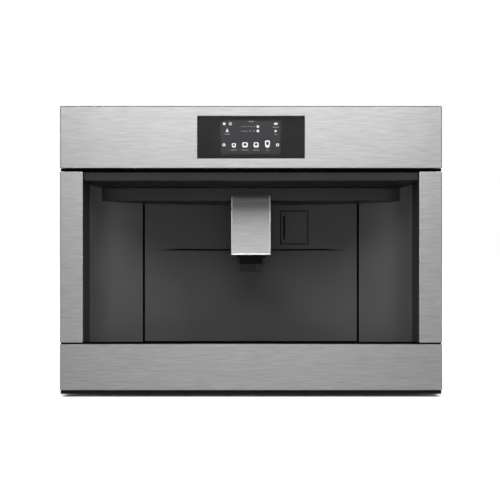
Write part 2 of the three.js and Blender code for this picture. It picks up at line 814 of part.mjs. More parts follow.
// ---------------------------------------------------------------- spout

const guideHead = [spoutBack + 6, spoutBack + 12];
const guideHeadHalf = 16;
const guideStemHalf = 8;
const guideFootHalf = 24;
const nozzleHalf = 19.8;
const nozzleHeight = 24; // of the block below its collar
const outletOffset = 9.5;
const outletRadius = 3.2;
const guideBack = wallDepth(0) - fit;
const spoutTop = canopyBottom + spoutAboveCanopy;
const carriageBottom = spoutBottom + 2.1;
const underCanopy = canopyBottom - 2;

// Side outline of the spout cover, drawn in by an inset. It steps forward in front of the canopy.
function coverProfile(inset) {
  const [front, top] = [spoutFront + inset, spoutTop - inset];
  const curve = Array.from({ length: 7 }, (_, i) => {
    const turn = (Math.PI / 2) * (i / 6);
    return [front + spoutCrown * (1 - Math.cos(turn)), top - spoutCrown + spoutCrown * Math.sin(turn)];
  });
  const shoulder = canopyFront - slideFit - inset;
  const [back, bottom] = inset ? [spoutBack + 5, spoutBottom - 5] : [spoutBack, spoutBottom];
  const roof = underCanopy - inset;
  return [[back, bottom], [front, bottom], ...curve, [shoulder, top], [shoulder, roof], [back, roof]];
}

function spoutParts() {
  const half = spoutWidth / 2;
  const corner = Array.from({ length: 5 }, (_, i) => {
    const turn = (Math.PI / 2) * (i / 4);
    return [
      half - spoutEdgeRadius * (1 - Math.sin(turn)),
      spoutFront + spoutEdgeRadius * (1 - Math.cos(turn)),
    ];
  });
  const edge = [...corner, [half, spoutBack + 10]];
  const rounded = upright([...edge.map(mirrored).reverse(), ...edge], [spoutBottom - 5, spoutTop + 5]);
  const outer = crosswise(coverProfile(0), [-half, half]).intersect(rounded);
  const inner = crosswise(coverProfile(sheet), [sheet - half, half - sheet]);
  place(spout, "spout_cover", less(outer, inner), materials.brushedSteel);

  const carriageHalf = half - sheet - fit;
  const block = box(
    [-carriageHalf, carriageHalf],
    [spoutFront + sheet + 6, guideHead[1] + 10],
    [carriageBottom, underCanopy - sheet - fit],
  );
  const tall = [guideBottom, spoutTop];
  const headReach = guideHeadHalf + slideFit;
  const stemReach = guideStemHalf + slideFit;
  const headSlot = box([-headReach, headReach], [guideHead[0] - slideFit, guideHead[1] + slideFit], tall);
  const stemSlot = box([-stemReach, stemReach], [guideHead[1], guideHead[1] + 11], tall);
  place(spout, "spout_carriage", less(block, headSlot, stemSlot), materials.darkTrim);

  const collarHalf = nozzleHalf + 4.5;
  const [collarFront, collarBack] = [spoutFront + 13, spoutBack + 1];
  const collar = box(
    [-collarHalf, collarHalf],
    [collarFront, collarBack],
    [nozzleBottom + nozzleHeight - 0.7, carriageBottom - fit],
  );
  const body = taperedBox(
    [[-nozzleHalf, nozzleHalf], [collarFront + 4, collarBack - 4], nozzleBottom],
    [[-nozzleHalf, nozzleHalf], [collarFront + 2, collarBack - 2], nozzleBottom + nozzleHeight],
  );
  const outletY = (collarFront + collarBack) / 2;
  const outlets = [-1, 1].map((side) =>
    post(side * outletOffset, outletY, [nozzleBottom - 1, nozzleBottom + 14], outletRadius, 12),
  );
  place(spout, "nozzle_block", less(union(collar, body), ...outlets), materials.darkTrim);

  const span = [guideBottom, underCanopy - 1];
  const foot = box([-guideFootHalf, guideFootHalf], [guideBack - 5, guideBack], span);
  const stem = box([-guideStemHalf, guideStemHalf], [guideHead[0], guideBack], span);
  const head = box([-guideHeadHalf, guideHeadHalf], guideHead, span);
  place(door, "spout_guide", union(foot, stem, head), materials.darkTrim);
}

// ---------------------------------------------------------------- drip tray and grounds bin

const floatX = -70;
const floatY = 38;
const floatRadius = 6;
const slotPitch = 22;
const slotHalf = 4;
const binFront = bulkheadBack + 2;
const binBack = binFront + binDepth;

function trayPlan(inset) {
  const inward = trayInset + inset;
  const reach = nicheHalf - inward;
  const half = [[reach, trayFront + inset], ...wallLine(reach - 0.01, 40, 14, inward)];
  return [...half, ...half.map(mirrored).reverse()];
}

function dripTray() {
  const tub = less(
    upright(trayPlan(0), [trayFloor, trayRim]),
    upright(trayPlan(trayWall), [trayFloor + trayWall, trayRim + 1]),
  );
  const bedHalf = binHalf + 6;
  const bedY = [wallDepth(0, trayInset) - 3, binBack + 3];
  const bed = box([-bedHalf, bedHalf], bedY, [trayFloor, trayFloor + trayWall]);
  const cheeks = [-1, 1].map((side) =>
    box([side * (bedHalf - 2), side * bedHalf], [bedY[0] + 4, bedY[1]], [trayFloor, trayFloor + 12]),
  );
  place(machine, "drip_tray", union(tub, bed, ...cheeks), materials.blackShell);

  const plate = upright(trayPlan(0.5), [trayRim + fit, trayRim + fit + gridThickness]);
  const slots = [];
  const slotRows = [
    { y: [28, 68], reach: 200, clear: (x) => Math.abs(x - floatX) > 14 },
    { y: [76, 116], reach: 180, clear: () => true },
  ];
  for (const { y, reach, clear } of slotRows) {
    for (let x = 0; x < reach; x += slotPitch) {
      for (const at of x ? [-x, x] : [0]) {
        const slot = box([at - slotHalf, at + slotHalf], y, [trayRim, trayRim + 10]);
        if (clear(at)) slots.push(slot);
      }
    }
  }
  const floatHole = post(floatX, floatY, [trayRim, trayRim + 10], floatRadius + 0.6, 20);
  place(group(machine), "cup_grid", less(plate, ...slots, floatHole), materials.brushedSteel);

  const floatBody = union(
    post(floatX, floatY, [trayFloor + trayWall + fit, trayFloor + 16], 9, 20),
    post(floatX, floatY, [trayFloor + 15, trayRim + 3], floatRadius, 20),
  );
  place(group(machine), "level_float", floatBody, materials.redFloat);

  const binY = [binFront, binBack];
  const binZ = [trayFloor + trayWall + fit, binTop];
  const binInside = box(
    [trayWall - binHalf, binHalf - trayWall],
    [binFront + trayWall, binBack - trayWall],
    [binZ[0] + trayWall, binTop + 1],
  );
  place(machine, "grounds_bin", less(box([-binHalf, binHalf], binY, binZ), binInside), materials.greyPlastic);
}

// ---------------------------------------------------------------- hopper, grinder and bean lid

const hopperRimTop = coverTop + fit + 1.6;
const throatHalf = 24;
const hopperRim = 8;
const hopperWall = 2.5;
const beanRight = 54; // the bean side of the hopper ends here
const chuteX = 74; // ground coffee goes down this chute
const chuteRadius = 13;
const lidThickness = 2.6;
const knobX = -130;
const knobY = hopperFront + 24;
const knobRadius = 16;
const knobShaft = 4;

function beanHopper() {
  const rimX = [-hopperHalf - hopperRim, hopperHalf + hopperRim];
  const rimY = [hopperFront - hopperRim, hopperBack + hopperRim];
  const rim = box(rimX, rimY, [coverTop + fit, hopperRimTop]);
  const neckZ = chassisTop - 10;
  const neck = box([-hopperHalf, hopperHalf], [hopperFront, hopperBack], [neckZ, hopperRimTop]);
  const funnel = taperedBox(
    [
      [-throatHalf - 3, throatHalf + 3],
      [grinderY - throatHalf - 3, grinderY + throatHalf + 3],
      hopperFloor,
    ],
    [[-hopperHalf, hopperHalf], [hopperFront, hopperBack], neckZ],
  );
  const insideX = [hopperWall - hopperHalf, beanRight];
  const insideY = [hopperFront + hopperWall, hopperBack - hopperWall];
  const mouth = box(insideX, insideY, [neckZ + 2, hopperRimTop + 1]);
  const cone = taperedBox(
    [[-throatHalf, throatHalf], [grinderY - throatHalf, grinderY + throatHalf], hopperFloor - 1],
    [insideX, insideY, neckZ + 2],
  );
  const chuteY = hopperFront + 22;
  const chute = post(chuteX, chuteY, [neckZ - 28, hopperRimTop + 1], chuteRadius, 20);
  const chuteTube = post(chuteX, chuteY, [neckZ - 26, neckZ + 2], chuteRadius + hopperWall, 20);
  const shell = less(union(rim, neck, funnel, chuteTube), mouth, cone, chute);
  place(machine, "bean_hopper", shell, materials.clearPlastic);

  const lidZ = [hopperRimTop + fit, hopperRimTop + fit + lidThickness];
  const split = beanRight + hopperWall / 2;
  const beanLid = box([rimX[0], split - fit], rimY, lidZ);
  place(group(machine), "bean_lid", beanLid, materials.clearPlastic);
  const chuteLid = box([split + fit, rimX[1]], [rimY[0], chuteY + 24], lidZ);
  place(group(machine), "ground_coffee_lid", chuteLid, materials.darkTrim);

  const knobTop = coverTop + 8.5;
  const knob = union(
    post(knobX, knobY, [coverTop + fit, knobTop], knobRadius, 28, knobRadius - 1),
    post(knobX, knobY, [chassisTop - 12, coverTop + 1], knobShaft, 16),
    box([knobX - 2, knobX + 2], [knobY - 14, knobY + 14], [knobTop - 1.5, knobTop + 2]),
  );
  place(group(machine), "grind_knob", knob, materials.darkTrim);
}

function grinder() {
  const onShaft = (zs, ...rest) => post(0, grinderY, zs, ...rest);
  const top = hopperFloor - fit;
  const foot = hopperFloor - grinderHeight;
  const floor = foot + 12;
  const shaft = 4;
  const shell = onShaft([foot, top], 48, 32);
  const outlet = taperedBox(
    [[-14, 14], [brewY + 24, brewY + 50], brewHigh + 5],
    [[-16, 16], [grinderY - 60, grinderY - 30], foot + 20],
  );
  const chamber = onShaft([floor, top + 1], 31, 28);
  const shaftHole = onShaft([foot - 1, floor + 1], shaft + 1, 16);
  place(machine, "grinder_body", less(union(shell, outlet), chamber, shaftHole), materials.aluminium);

  const ringLow = floor + 24;
  const ringHigh = ringLow + 22;
  const bore = onShaft([ringLow - 1, ringHigh + 1], 17, 28, 25);
  const ring = less(onShaft([ringLow, ringHigh], 30.7, 28), bore);
  place(machine, "upper_burr", ring, materials.zincSteel);

  const coneLow = floor + 2;
  const shoulder = coneLow + 12;
  const fins = Array.from({ length: 6 }, (_, i) => {
    const fin = new THREE.BoxGeometry(7, 3, 20);
    fin.translate(11.5, 0, shoulder + 18);
    fin.rotateZ((Math.PI / 3) * i);
    fin.translate(0, grinderY, 0);
    return solid(fin);
  });
  const cone = union(
    onShaft([coneLow, shoulder], 27, 28),
    onShaft([shoulder, shoulder + 20], 16, 28, 12),
    onShaft([foot - 30, coneLow + 1], shaft, 16),
    ...fins,
  );
  place(machine, "lower_burr", cone, materials.zincSteel);

  const motorTop = foot - 12;
  const motor = less(
    union(
      onShaft([motorTop - grinderMotorHeight, motorTop], 33, 28),
      onShaft([motorTop, foot - fit], 20, 28),
    ),
    onShaft([foot - 31, foot], shaft + 0.5, 16),
  );
  place(machine, "grinder_motor", motor, materials.zincSteel);
}

// ---------------------------------------------------------------- brew unit

const journalRadius = 3.5;
const threadDepth = 0.7;
const threadStarts = 3;
const threadRadius = 5.7;

// A multi-start lead screw between two plain journals.
function leadScrew() {
  const mean = threadRadius - threadDepth;
  const [low, high, sides, rows] = [brewLow + 9, brewHigh - 10, 12, 44];
  const ring = (z, radius) =>
    Array.from({ length: sides }, (_, i) => {
      const turn = (2 * Math.PI * i) / sides;
      const phase = threadStarts * turn - (2 * Math.PI * z) / screwLead;
      const r = radius ?? mean + threadDepth * Math.cos(phase);
      return [r * Math.cos(turn), r * Math.sin(turn), z];
    });
  const threaded = Array.from({ length: rows + 1 }, (_, i) => low + ((high - low) * i) / rows);
  const rings = [
    ring(brewLow - 6 + fit, journalRadius),
    ring(low, journalRadius),
    ...threaded.map((z) => ring(z)),
    ring(high, journalRadius),
    ring(brewHigh - 3, journalRadius),
  ];
  const vertices = rings.flat();
  const first = vertices.push([0, 0, rings[0][0][2]]) - 1;
  const last = vertices.push([0, 0, rings[rings.length - 1][0][2]]) - 1;
  const faces = [];
  for (let row = 0; row < rings.length - 1; row++) {
    for (let i = 0; i < sides; i++) {
      const [a, b] = [row * sides + i, row * sides + ((i + 1) % sides)];
      faces.push(a, b, b + sides, a, b + sides, a + sides);
    }
  }
  const topRow = (rings.length - 1) * sides;
  for (let i = 0; i < sides; i++) {
    const next = (i + 1) % sides;
    faces.push(first, next, i, last, topRow + i, topRow + next);
  }
  const geometry = new THREE.BufferGeometry();
  geometry.setAttribute("position", new THREE.Float32BufferAttribute(vertices.flat(), 3));
  geometry.setIndex(faces);
  geometry.translate(0, screwY, 0);
  return solid(geometry);
}

function brewUnit() {
  const half = 46;
  const wall = 4;
  const frontY = bulkheadBack + fit;
  const plateFront = brewY - 34;
  const backY = screwY + 12;
  const plates = [
    box([-half, half], [plateFront, backY], [brewLow, brewLow + 5]),
    box([-half, half], [plateFront, backY], [brewHigh - 6, brewHigh]),
    box([-half, half], [backY - wall, backY], [brewLow, brewHigh]),
  ];
  const cheeks = [-1, 1].flatMap((side) => [
    box([side * (half - wall), side * half], [frontY, backY], [brewLow, brewHigh]),
    box([side * half, side * (accessHalf + 10)], [frontY, frontY + 3], [brewLow + 4, brewHigh - 4]),
  ]);
  const journals = post(0, screwY, [brewLow - 1, brewHigh + 1], journalRadius + fit, 16);
  const fillHole = box([-15, 15], [brewY + 22, brewY + 52], [brewHigh - 7, brewHigh + 1]);
  const frame = less(union(...plates, ...cheeks), journals);
  place(machine, "brew_frame", frame.subtract(fillHole), materials.darkTrim);

  const chamberTop = chamberBottom + chamberHeight;
  const boreRadius = 25;
  const pistonLow = chamberTop + pistonGap;
  const onAxis = (zs, radius, sides) => post(0, brewY, zs, radius, sides);
  const piston = less(
    union(
      onAxis([pistonLow, pistonLow + 14], boreRadius - 0.6, 28),
      onAxis([pistonLow + 13, brewHigh - 6 - fit], 9, 20),
    ),
    onAxis([pistonLow - 1, pistonLow + 8], 3, 12),
  );
  place(machine, "upper_piston", piston, materials.greyPlastic);

  const armHeight = 30;
  const arm = box([-10, 10], [brewY + 20, screwY + 7.5], [chamberBottom, chamberBottom + armHeight]);
  const chamber = less(
    union(onAxis([chamberBottom, chamberTop], boreRadius + 6, 32), arm),
    onAxis([chamberBottom + 6, chamberTop + 1], boreRadius, 28),
    post(0, screwY, [chamberBottom - 1, chamberBottom + armHeight + 1], threadRadius + 0.5, 20),
  );
  place(machine, "brew_chamber", chamber, materials.greyPlastic);
  place(machine, "lead_screw", leadScrew(), materials.zincSteel);

  const gearTop = brewLow - 6;
  const gearbox = box([-25, 25], [screwY - 20, screwY + 92], [binTop + 3, gearTop]);
  const motorCan = post(0, screwY + 68, [gearTop - 1, gearTop + 80], 22, 24);
  place(machine, "brew_gearmotor", union(gearbox, motorCan), materials.aluminium);
}

// ---------------------------------------------------------------- water tank, pump, boiler and pipes

const tankLeft = -chassisHalf + 11;
const tankRight = tankLeft + tankWidth;
const tankBack = machineDepth - 18;
const tankFront = tankBack - tankLength;
const tankBottom = coverTop - tankHeight;
const dockTop = tankBottom - fit;
const inletX = 200;
const inletHalf = 14;
const inletRise = 10; // half the inlet's height
const inletZ = 90;
const switchX = 160;
const switchHalf = 7;
const switchRise = 10;
const rockerSwing = 1.2; // room for the rocker's ends
const tankWall = 2.5;
const tankDraft = 2;

function waterSystem() {
  const tankPlan = (inset) => [
    [tankLeft + inset, tankRight - inset],
    [tankFront + inset, tankBack - inset],
  ];
  const outer = taperedBox([...tankPlan(tankDraft), tankBottom], [...tankPlan(0), coverTop]);
  const inner = taperedBox(
    [...tankPlan(tankDraft + tankWall), tankBottom + tankWall],
    [...tankPlan(tankWall), coverTop + 1],
  );
  place(tank, "water_tank", less(outer, inner), materials.clearPlastic);
  const lid = box(
    [tankLeft - 5, tankRight + 5],
    [tankFront - 6, tankBack + 6],
    [coverTop + fit, coverTop + fit + lidThickness],
  );
  place(tank, "tank_lid", lid, materials.darkTrim);

  const dockX = [-innerHalf, tankRight + 8];
  const dockY = [tankFront - 2, tankBack + 2];
  const shelf = box(dockX, dockY, [dockTop - 10, dockTop]);
  const cheek = box([-innerHalf, -innerHalf + 3], dockY, [dockTop - 60, dockTop]);
  const socket = post((tankLeft + tankRight) / 2, tankFront + 30, [dockTop - 26, dockTop - 5], 11, 20);
  place(machine, "tank_dock", union(shelf, cheek, socket), materials.greyPlastic);

  const pumpY = machineDepth - 66;
  const pumpZ = 42;
  const feet = [92, 138].map((x) => box([x, x + 8], [pumpY - 20, pumpY + 20], [panTop + fit, pumpZ]));
  const pump = union(
    barX([86, 150], pumpY, pumpZ, 24, 24),
    barX([150, 196], pumpY, pumpZ, 15, 20),
    barX([196, 208], pumpY, pumpZ, 7, 16),
    ...feet,
  );
  place(machine, "vibration_pump", pump, materials.zincSteel);

  const boilerX = chassisHalf - 76;
  const boilerY = bulkheadBack + 82;
  const [boilerLow, boilerHigh] = [150, 262];
  const brackets = [[160, 180], [232, 252]].map((zs) =>
    box([boilerX + 20, innerHalf], [boilerY - 12, boilerY + 12], zs),
  );
  const boiler = union(
    post(boilerX, boilerY, [boilerLow, boilerHigh], 42, 32),
    post(boilerX, boilerY, [200, 208], 48, 32),
    post(boilerX, boilerY, [boilerHigh, boilerHigh + 12], 10, 20),
    ...brackets,
  );
  place(machine, "boiler", boiler, materials.aluminium);

  const socketWall = 3;
  const inletX0 = [inletX - inletHalf, inletX + inletHalf];
  const inletZ0 = [inletZ - inletRise, inletZ + inletRise];
  const inlet = union(
    box(inletX0, [rearFront - 24, machineDepth - 0.2], inletZ0),
    box([inletX0[0] - 5, inletX0[1] + 5], [rearFront - 3, rearFront - fit], [inletZ0[0] - 4, inletZ0[1] + 4]),
  );
  const socketCut = box(
    [inletX0[0] + socketWall, inletX0[1] - socketWall],
    [rearFront - 16, machineDepth + 1],
    [inletZ0[0] + socketWall, inletZ0[1] - socketWall],
  );
  const blades = [[-6, -3], [0, -1], [6, -3]].map(([x, z]) =>
    box(
      [inletX + x - 1, inletX + x + 1],
      [rearFront - 18, machineDepth - 4],
      [inletZ + z, inletZ + z + 4],
    ),
  );
  place(machine, "power_inlet", union(less(inlet, socketCut), ...blades), materials.rubber);

  const rocker = crosswise(
    [
      [rearFront - 8, inletZ - switchRise],
      [machineDepth - 1.4, inletZ - switchRise],
      [machineDepth - 0.2, inletZ],
      [machineDepth - 1.4, inletZ + switchRise],
      [rearFront - 8, inletZ + switchRise],
    ],
    [switchX - switchHalf, switchX + switchHalf],
  );
  place(machine, "power_switch", rocker, materials.rubber);
}

// ---------------------------------------------------------------- assembly

runners();
chassis();
fixedFront();
doorFrame();
doorSteel();
nicheShell();
canopy();
backPanel();
hotWaterFlap();
spoutParts();
dripTray();
beanHopper();
grinder();
brewUnit();
waterSystem();

export default object;
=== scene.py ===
# Looks of the built-in coffee machine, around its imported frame.
# Metres, +Z up. The steel front faces -Y and stands on a pale studio floor.
import json
from math import acos, copysign, cos, hypot, pi, radians, sin, sqrt

import bmesh
import bpy
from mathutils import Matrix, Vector


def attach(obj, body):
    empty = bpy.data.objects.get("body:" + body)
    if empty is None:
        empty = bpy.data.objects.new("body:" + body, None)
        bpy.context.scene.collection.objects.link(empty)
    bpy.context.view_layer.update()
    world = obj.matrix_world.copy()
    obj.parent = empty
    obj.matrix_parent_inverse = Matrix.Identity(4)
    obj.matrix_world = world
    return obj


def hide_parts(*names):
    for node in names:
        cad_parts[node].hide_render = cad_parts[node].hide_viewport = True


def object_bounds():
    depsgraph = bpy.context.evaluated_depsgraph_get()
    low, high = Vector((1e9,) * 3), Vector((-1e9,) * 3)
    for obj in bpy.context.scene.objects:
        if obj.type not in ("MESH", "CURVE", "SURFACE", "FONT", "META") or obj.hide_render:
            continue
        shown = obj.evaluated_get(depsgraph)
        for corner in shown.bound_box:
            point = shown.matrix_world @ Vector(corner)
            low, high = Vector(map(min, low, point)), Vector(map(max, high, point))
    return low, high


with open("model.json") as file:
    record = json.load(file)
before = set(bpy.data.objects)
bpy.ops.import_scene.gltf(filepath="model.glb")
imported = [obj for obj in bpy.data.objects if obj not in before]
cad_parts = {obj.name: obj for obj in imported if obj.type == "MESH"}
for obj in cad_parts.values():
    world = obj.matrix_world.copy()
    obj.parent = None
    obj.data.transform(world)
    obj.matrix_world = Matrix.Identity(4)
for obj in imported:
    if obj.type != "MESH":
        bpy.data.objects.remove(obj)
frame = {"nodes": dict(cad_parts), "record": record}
cad_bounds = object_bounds()
nodes = frame["nodes"]

MM = 0.001
BODIES = frame["record"]["behaviour"]["bodies"]
BODY_OF = {node: body for body, group in BODIES.items() for node in group}
SLOT_OF = {part["node"]: part["material_slot"] for part in frame["record"]["subparts"]}
SIDES = ((-1, "left"), (1, "right"))
FRONT = cad_bounds[0].y  # the face of the steel front


def add_object(name, data):
    obj = bpy.data.objects.new(name, data)
    bpy.context.scene.collection.objects.link(obj)
    return obj


# ---- node helpers


def add_node(tree, kind, **settings):
    node = tree.nodes.new(kind)
    for name, value in settings.items():
        setattr(node, name, value)
    return node


def in_object(tree, kind):
    """A node whose coordinates are the object's own."""
    place, node = add_node(tree, "ShaderNodeTexCoord"), add_node(tree, kind)
    tree.links.new(place.outputs["Object"], node.inputs["Vector"])
    return node


def streaks(tree, scale, detail=2.0, seed=0.0):
    """Noise in the object's own frame, with one scale, or one for each axis that stretches it."""
    mapping = in_object(tree, "ShaderNodeMapping")
    mapping.inputs["Scale"].default_value = scale if isinstance(scale, tuple) else grey(scale)
    mapping.inputs["Location"].default_value = grey(seed)
    noise = add_node(tree, "ShaderNodeTexNoise")
    noise.inputs["Scale"].default_value = 1.0
    noise.inputs["Detail"].default_value = detail
    tree.links.new(mapping.outputs["Vector"], noise.inputs["Vector"])
    return noise.outputs["Fac"]


def ramp(tree, factor, dark, light, low=0.3, high=0.7):
    """Maps a factor from low..high to dark..light, which are numbers or colours."""
    if isinstance(dark, tuple):
        node = add_node(tree, "ShaderNodeValToRGB")
        stops = node.color_ramp.elements
        stops[0].position, stops[1].position = low, high
        stops[0].color, stops[1].color = (*dark, 1), (*light, 1)
        tree.links.new(factor, node.inputs["Fac"])
        return node.outputs["Color"]
    node = add_node(tree, "ShaderNodeMapRange")
    for name, value in zip(("From Min", "From Max", "To Min", "To Max"), (low, high, dark, light)):
        node.inputs[name].default_value = value
    tree.links.new(factor, node.inputs["Value"])
    return node.outputs["Result"]


def bump(tree, height, distance, strength=0.5):
    node = add_node(tree, "ShaderNodeBump")
    node.inputs["Strength"].default_value = strength
    node.inputs["Distance"].default_value = distance
    tree.links.new(height, node.inputs["Height"])
    return node.outputs["Normal"]


def grey(value):
    return (value, value, value)


def tinted(colour, share):
    return tuple(c * share for c in colour)


# ---- materials

MATERIALS = {}


def surface(name, **sockets):
    """The node tree of a new material, with these constants on its Principled BSDF."""
    material = MATERIALS[name] = bpy.data.materials.new(name)
    material.use_nodes = True
    shader = material.node_tree.nodes["Principled BSDF"]
    for key, value in sockets.items():
        shader.inputs[key.replace("_", " ")].default_value = value
    return material.node_tree


def drive(tree, **outputs):
    """Links an output to each of these sockets of the tree's Principled BSDF."""
    shader = tree.nodes["Principled BSDF"]
    for key, output in outputs.items():
        tree.links.new(output, shader.inputs[key.replace("_", " ")])


def brushed_steel(name, light=0.42, lying=False):
    """Stainless steel, brushed across the machine: fine streaks in colour, gloss and height."""
    tree = surface(name, Metallic=1.0, Anisotropic=0.8, Anisotropic_Rotation=0.25)
    coarse = (32.0, 520.0, 90.0) if lying else (32.0, 90.0, 520.0)
    fine = (30.0, 2600.0, 900.0) if lying else (30.0, 900.0, 2600.0)
    axis = "Y" if lying else "Z"
    tangent = add_node(tree, "ShaderNodeTangent", direction_type="RADIAL", axis=axis)
    broad = streaks(tree, coarse, detail=3.0)
    thin = streaks(tree, fine, seed=3.0)
    pale = (light * 1.1, light * 1.1, light * 1.105)
    drive(
        tree,
        Tangent=tangent.outputs["Tangent"],
        Base_Color=ramp(tree, broad, grey(light * 0.88), pale),
        Roughness=ramp(tree, thin, 0.44, 0.56),
        Normal=bump(tree, thin, 0.00002),
    )


def zinc_steel(name, light=0.4):
    """Galvanised sheet: a faint spangle under a fine matt bloom."""
    tree = surface(name, Metallic=1.0)
    spangle = in_object(tree, "ShaderNodeTexVoronoi")
    spangle.inputs["Scale"].default_value = 260.0
    dark, pale = ((light * share, light * share * 1.03, light * share * 1.05) for share in (0.93, 1.05))
    bloom = streaks(tree, 500.0, detail=3.0)
    drive(
        tree,
        Base_Color=ramp(tree, spangle.outputs["Color"], dark, pale, 0.0, 1.0),
        Roughness=ramp(tree, bloom, 0.43, 0.46),
    )


def moulded(name, colour, rough, grain, depth=0.00003, **sockets):
    """Plastic with a fine grain of the given size, and slight changes of shade and gloss."""
    tree = surface(name, **sockets)
    fine = streaks(tree, 1 / grain)
    broad = streaks(tree, 14.0, detail=3.0, seed=5.0)
    drive(
        tree,
        Base_Color=ramp(tree, broad, tinted(colour, 0.9), tinted(colour, 1.1)),
        Roughness=ramp(tree, broad, rough * 0.92, rough * 1.08),
        Normal=bump(tree, fine, depth, 0.6),
    )


def cast_metal(name, colour, rough):
    """Cast and machined metal with a sandy grain."""
    tree = surface(name, Metallic=1.0)
    sand = streaks(tree, 1100.0, detail=4.0)
    cloud = streaks(tree, 35.0, detail=4.0, seed=2.0)
    drive(
        tree,
        Base_Color=ramp(tree, cloud, tinted(colour, 0.86), colour, 0.35, 0.65),
        Roughness=ramp(tree, sand, rough - 0.06, rough + 0.08),
        Normal=bump(tree, sand, 0.00008),
    )


def smoked_plastic(name):
    """Clear, faintly smoked plastic with moulded-in ripples."""
    tree = surface(name, Transmission_Weight=0.85, IOR=1.49, Base_Color=(0.55, 0.6, 0.63, 1))
    ripple = streaks(tree, 25.0)
    drive(tree, Roughness=ramp(tree, ripple, 0.08, 0.2), Normal=bump(tree, ripple, 0.0002, 0.3))


def screen_glass(name):
    """Polished glass of the display, with a trace of wiping marks."""
    tree = surface(
        name, Transmission_Weight=1.0, IOR=1.45, Specular_IOR_Level=0.36, Base_Color=(0.5, 0.5, 0.5, 1)
    )
    marks = streaks(tree, (60.0, 60.0, 25.0), detail=4.0)
    drive(tree, Roughness=ramp(tree, marks, 0.0, 0.05, 0.4, 0.7))


def glow(name, colour, scale):
    """A lit surface whose brightness drifts a little over its face."""
    tree = surface(name, Roughness=0.4, Emission_Strength=1.0, Base_Color=(0.01, 0.01, 0.01, 1))
    drift = streaks(tree, scale)
    drive(tree, Emission_Color=ramp(tree, drift, tinted(colour, 0.94), colour))


def circuit_board(name):
    """Green solder mask with copper tracks showing through."""
    tree = surface(name, Roughness=0.35)
    tracks = in_object(tree, "ShaderNodeTexBrick")
    tracks.inputs["Scale"].default_value = 160.0
    tracks.inputs["Color1"].default_value = (0.02, 0.12, 0.05, 1)
    tracks.inputs["Color2"].default_value = (0.015, 0.09, 0.04, 1)
    tracks.inputs["Mortar"].default_value = (0.06, 0.2, 0.08, 1)
    relief = bump(tree, tracks.outputs["Fac"], 0.00005)
    drive(tree, Base_Color=tracks.outputs["Color"], Normal=relief)


brushed_steel("brushed_steel")
brushed_steel("polished_steel", light=0.5)
# the cup grid's brushed steel, painted darker as painted shade; it also throws less light onto the back
# panel
brushed_steel("grid_steel_painted_shade", light=0.27, lying=True)
# a much brighter copy of brushed steel for the spout's edges: painted highlight
brushed_steel("painted_highlight_steel", light=0.85)
# darker brushed steel for the lower fascia's upper fold: painted shade
brushed_steel("steel_fold_painted_shade", light=0.2)
zinc_steel("zinc_steel")
# the same zinc, painted darker on the top cover as painted shade
zinc_steel("zinc_top_painted_shade", light=0.17)  # faces the studio's brightest light
# unlit near-black for the steel front's outer folds: painted shade
moulded("painted_edge_shade", grey(0.035), 0.9, 0.0004, Specular_IOR_Level=0.0)
moulded("black_shell", (0.043, 0.043, 0.044), 0.6, 0.0005)
# black_shell made a little lighter for the curved wings: painted light
moulded("wing_shell_painted_light", (0.047, 0.047, 0.048), 0.6, 0.0005)
# unlit near-black for gaps, seams and slots: painted shadow
moulded("painted_shadow_black", grey(0.0012), 0.9, 0.0006, Specular_IOR_Level=0.0)
# near-black plastic: the plinth's own colour, and painted shade on the nozzle block's upper part
moulded("black_plinth_and_painted_shade", grey(0.004), 0.8, 0.0006, Specular_IOR_Level=0.12)
moulded("dark_trim", (0.012, 0.012, 0.013), 0.3, 0.0009, 0.00002)
moulded("nozzle_black", grey(0.007), 0.5, 0.0009, Specular_IOR_Level=0.3)
moulded("glass_print", (0.075, 0.075, 0.076), 0.6, 0.0004)
moulded("light_lens", grey(0.03), 0.5, 0.0006)
moulded("grey_plastic", (0.2, 0.2, 0.21), 0.45, 0.0006)
moulded("red_float", (0.5, 0.03, 0.02), 0.4, 0.0006)
moulded("rubber", grey(0.03), 0.7, 0.0004, 0.00006)
cast_metal("aluminium", (0.62, 0.63, 0.64), 0.36)
smoked_plastic("clear_plastic")
screen_glass("black_glass")
circuit_board("circuit")
glow("screen", (0.092, 0.094, 0.1), 30.0)
glow("signs", (2.1, 2.12, 2.16), 60.0)
glow("faint_signs", (0.75, 0.75, 0.8), 60.0)

# ---- frame pieces that keep their own shape

SMOOTH_ANGLE = radians(32)


def smooth_by_angle():
    """A node group that shades smooth, apart from edges sharper than the angle."""
    group = bpy.data.node_groups.new("smooth_by_angle", "GeometryNodeTree")
    for direction in ("INPUT", "OUTPUT"):
        group.interface.new_socket("Geometry", in_out=direction, socket_type="NodeSocketGeometry")
    start, end = group.nodes.new("NodeGroupInput"), group.nodes.new("NodeGroupOutput")
    bare = add_node(group, "GeometryNodeRemoveAttribute")
    bare.inputs["Name"].default_value = "custom_normal"
    faces = add_node(group, "GeometryNodeSetShadeSmooth", domain="FACE")
    edges = add_node(group, "GeometryNodeSetShadeSmooth", domain="EDGE")
    angle = group.nodes.new("GeometryNodeInputMeshEdgeAngle")
    below = add_node(group, "FunctionNodeCompare", data_type="FLOAT", operation="LESS_THAN")
    below.inputs[1].default_value = SMOOTH_ANGLE
    link = group.links.new
    link(start.outputs[0], bare.inputs["Geometry"])
    link(bare.outputs["Geometry"], faces.inputs["Geometry"])
    link(faces.outputs["Geometry"], edges.inputs["Geometry"])
    link(angle.outputs["Unsigned Angle"], below.inputs[0])
    link(below.outputs["Result"], edges.inputs["Shade Smooth"])
    link(edges.outputs["Geometry"], end.inputs[0])
    return group


SMOOTHER = smooth_by_angle()


def round_edges(obj, width):
    bevel = obj.modifiers.new("bevel", "BEVEL")
    bevel.width = width
    bevel.segments = 2
    bevel.limit_method = "ANGLE"
    bevel.angle_limit = radians(40)


def shade(obj):
    smoother = obj.modifiers.new("smoother", "NODES")
    smoother.node_group = SMOOTHER
    weighted = obj.modifiers.new("weighted", "WEIGHTED_NORMAL")
    weighted.keep_sharp = True


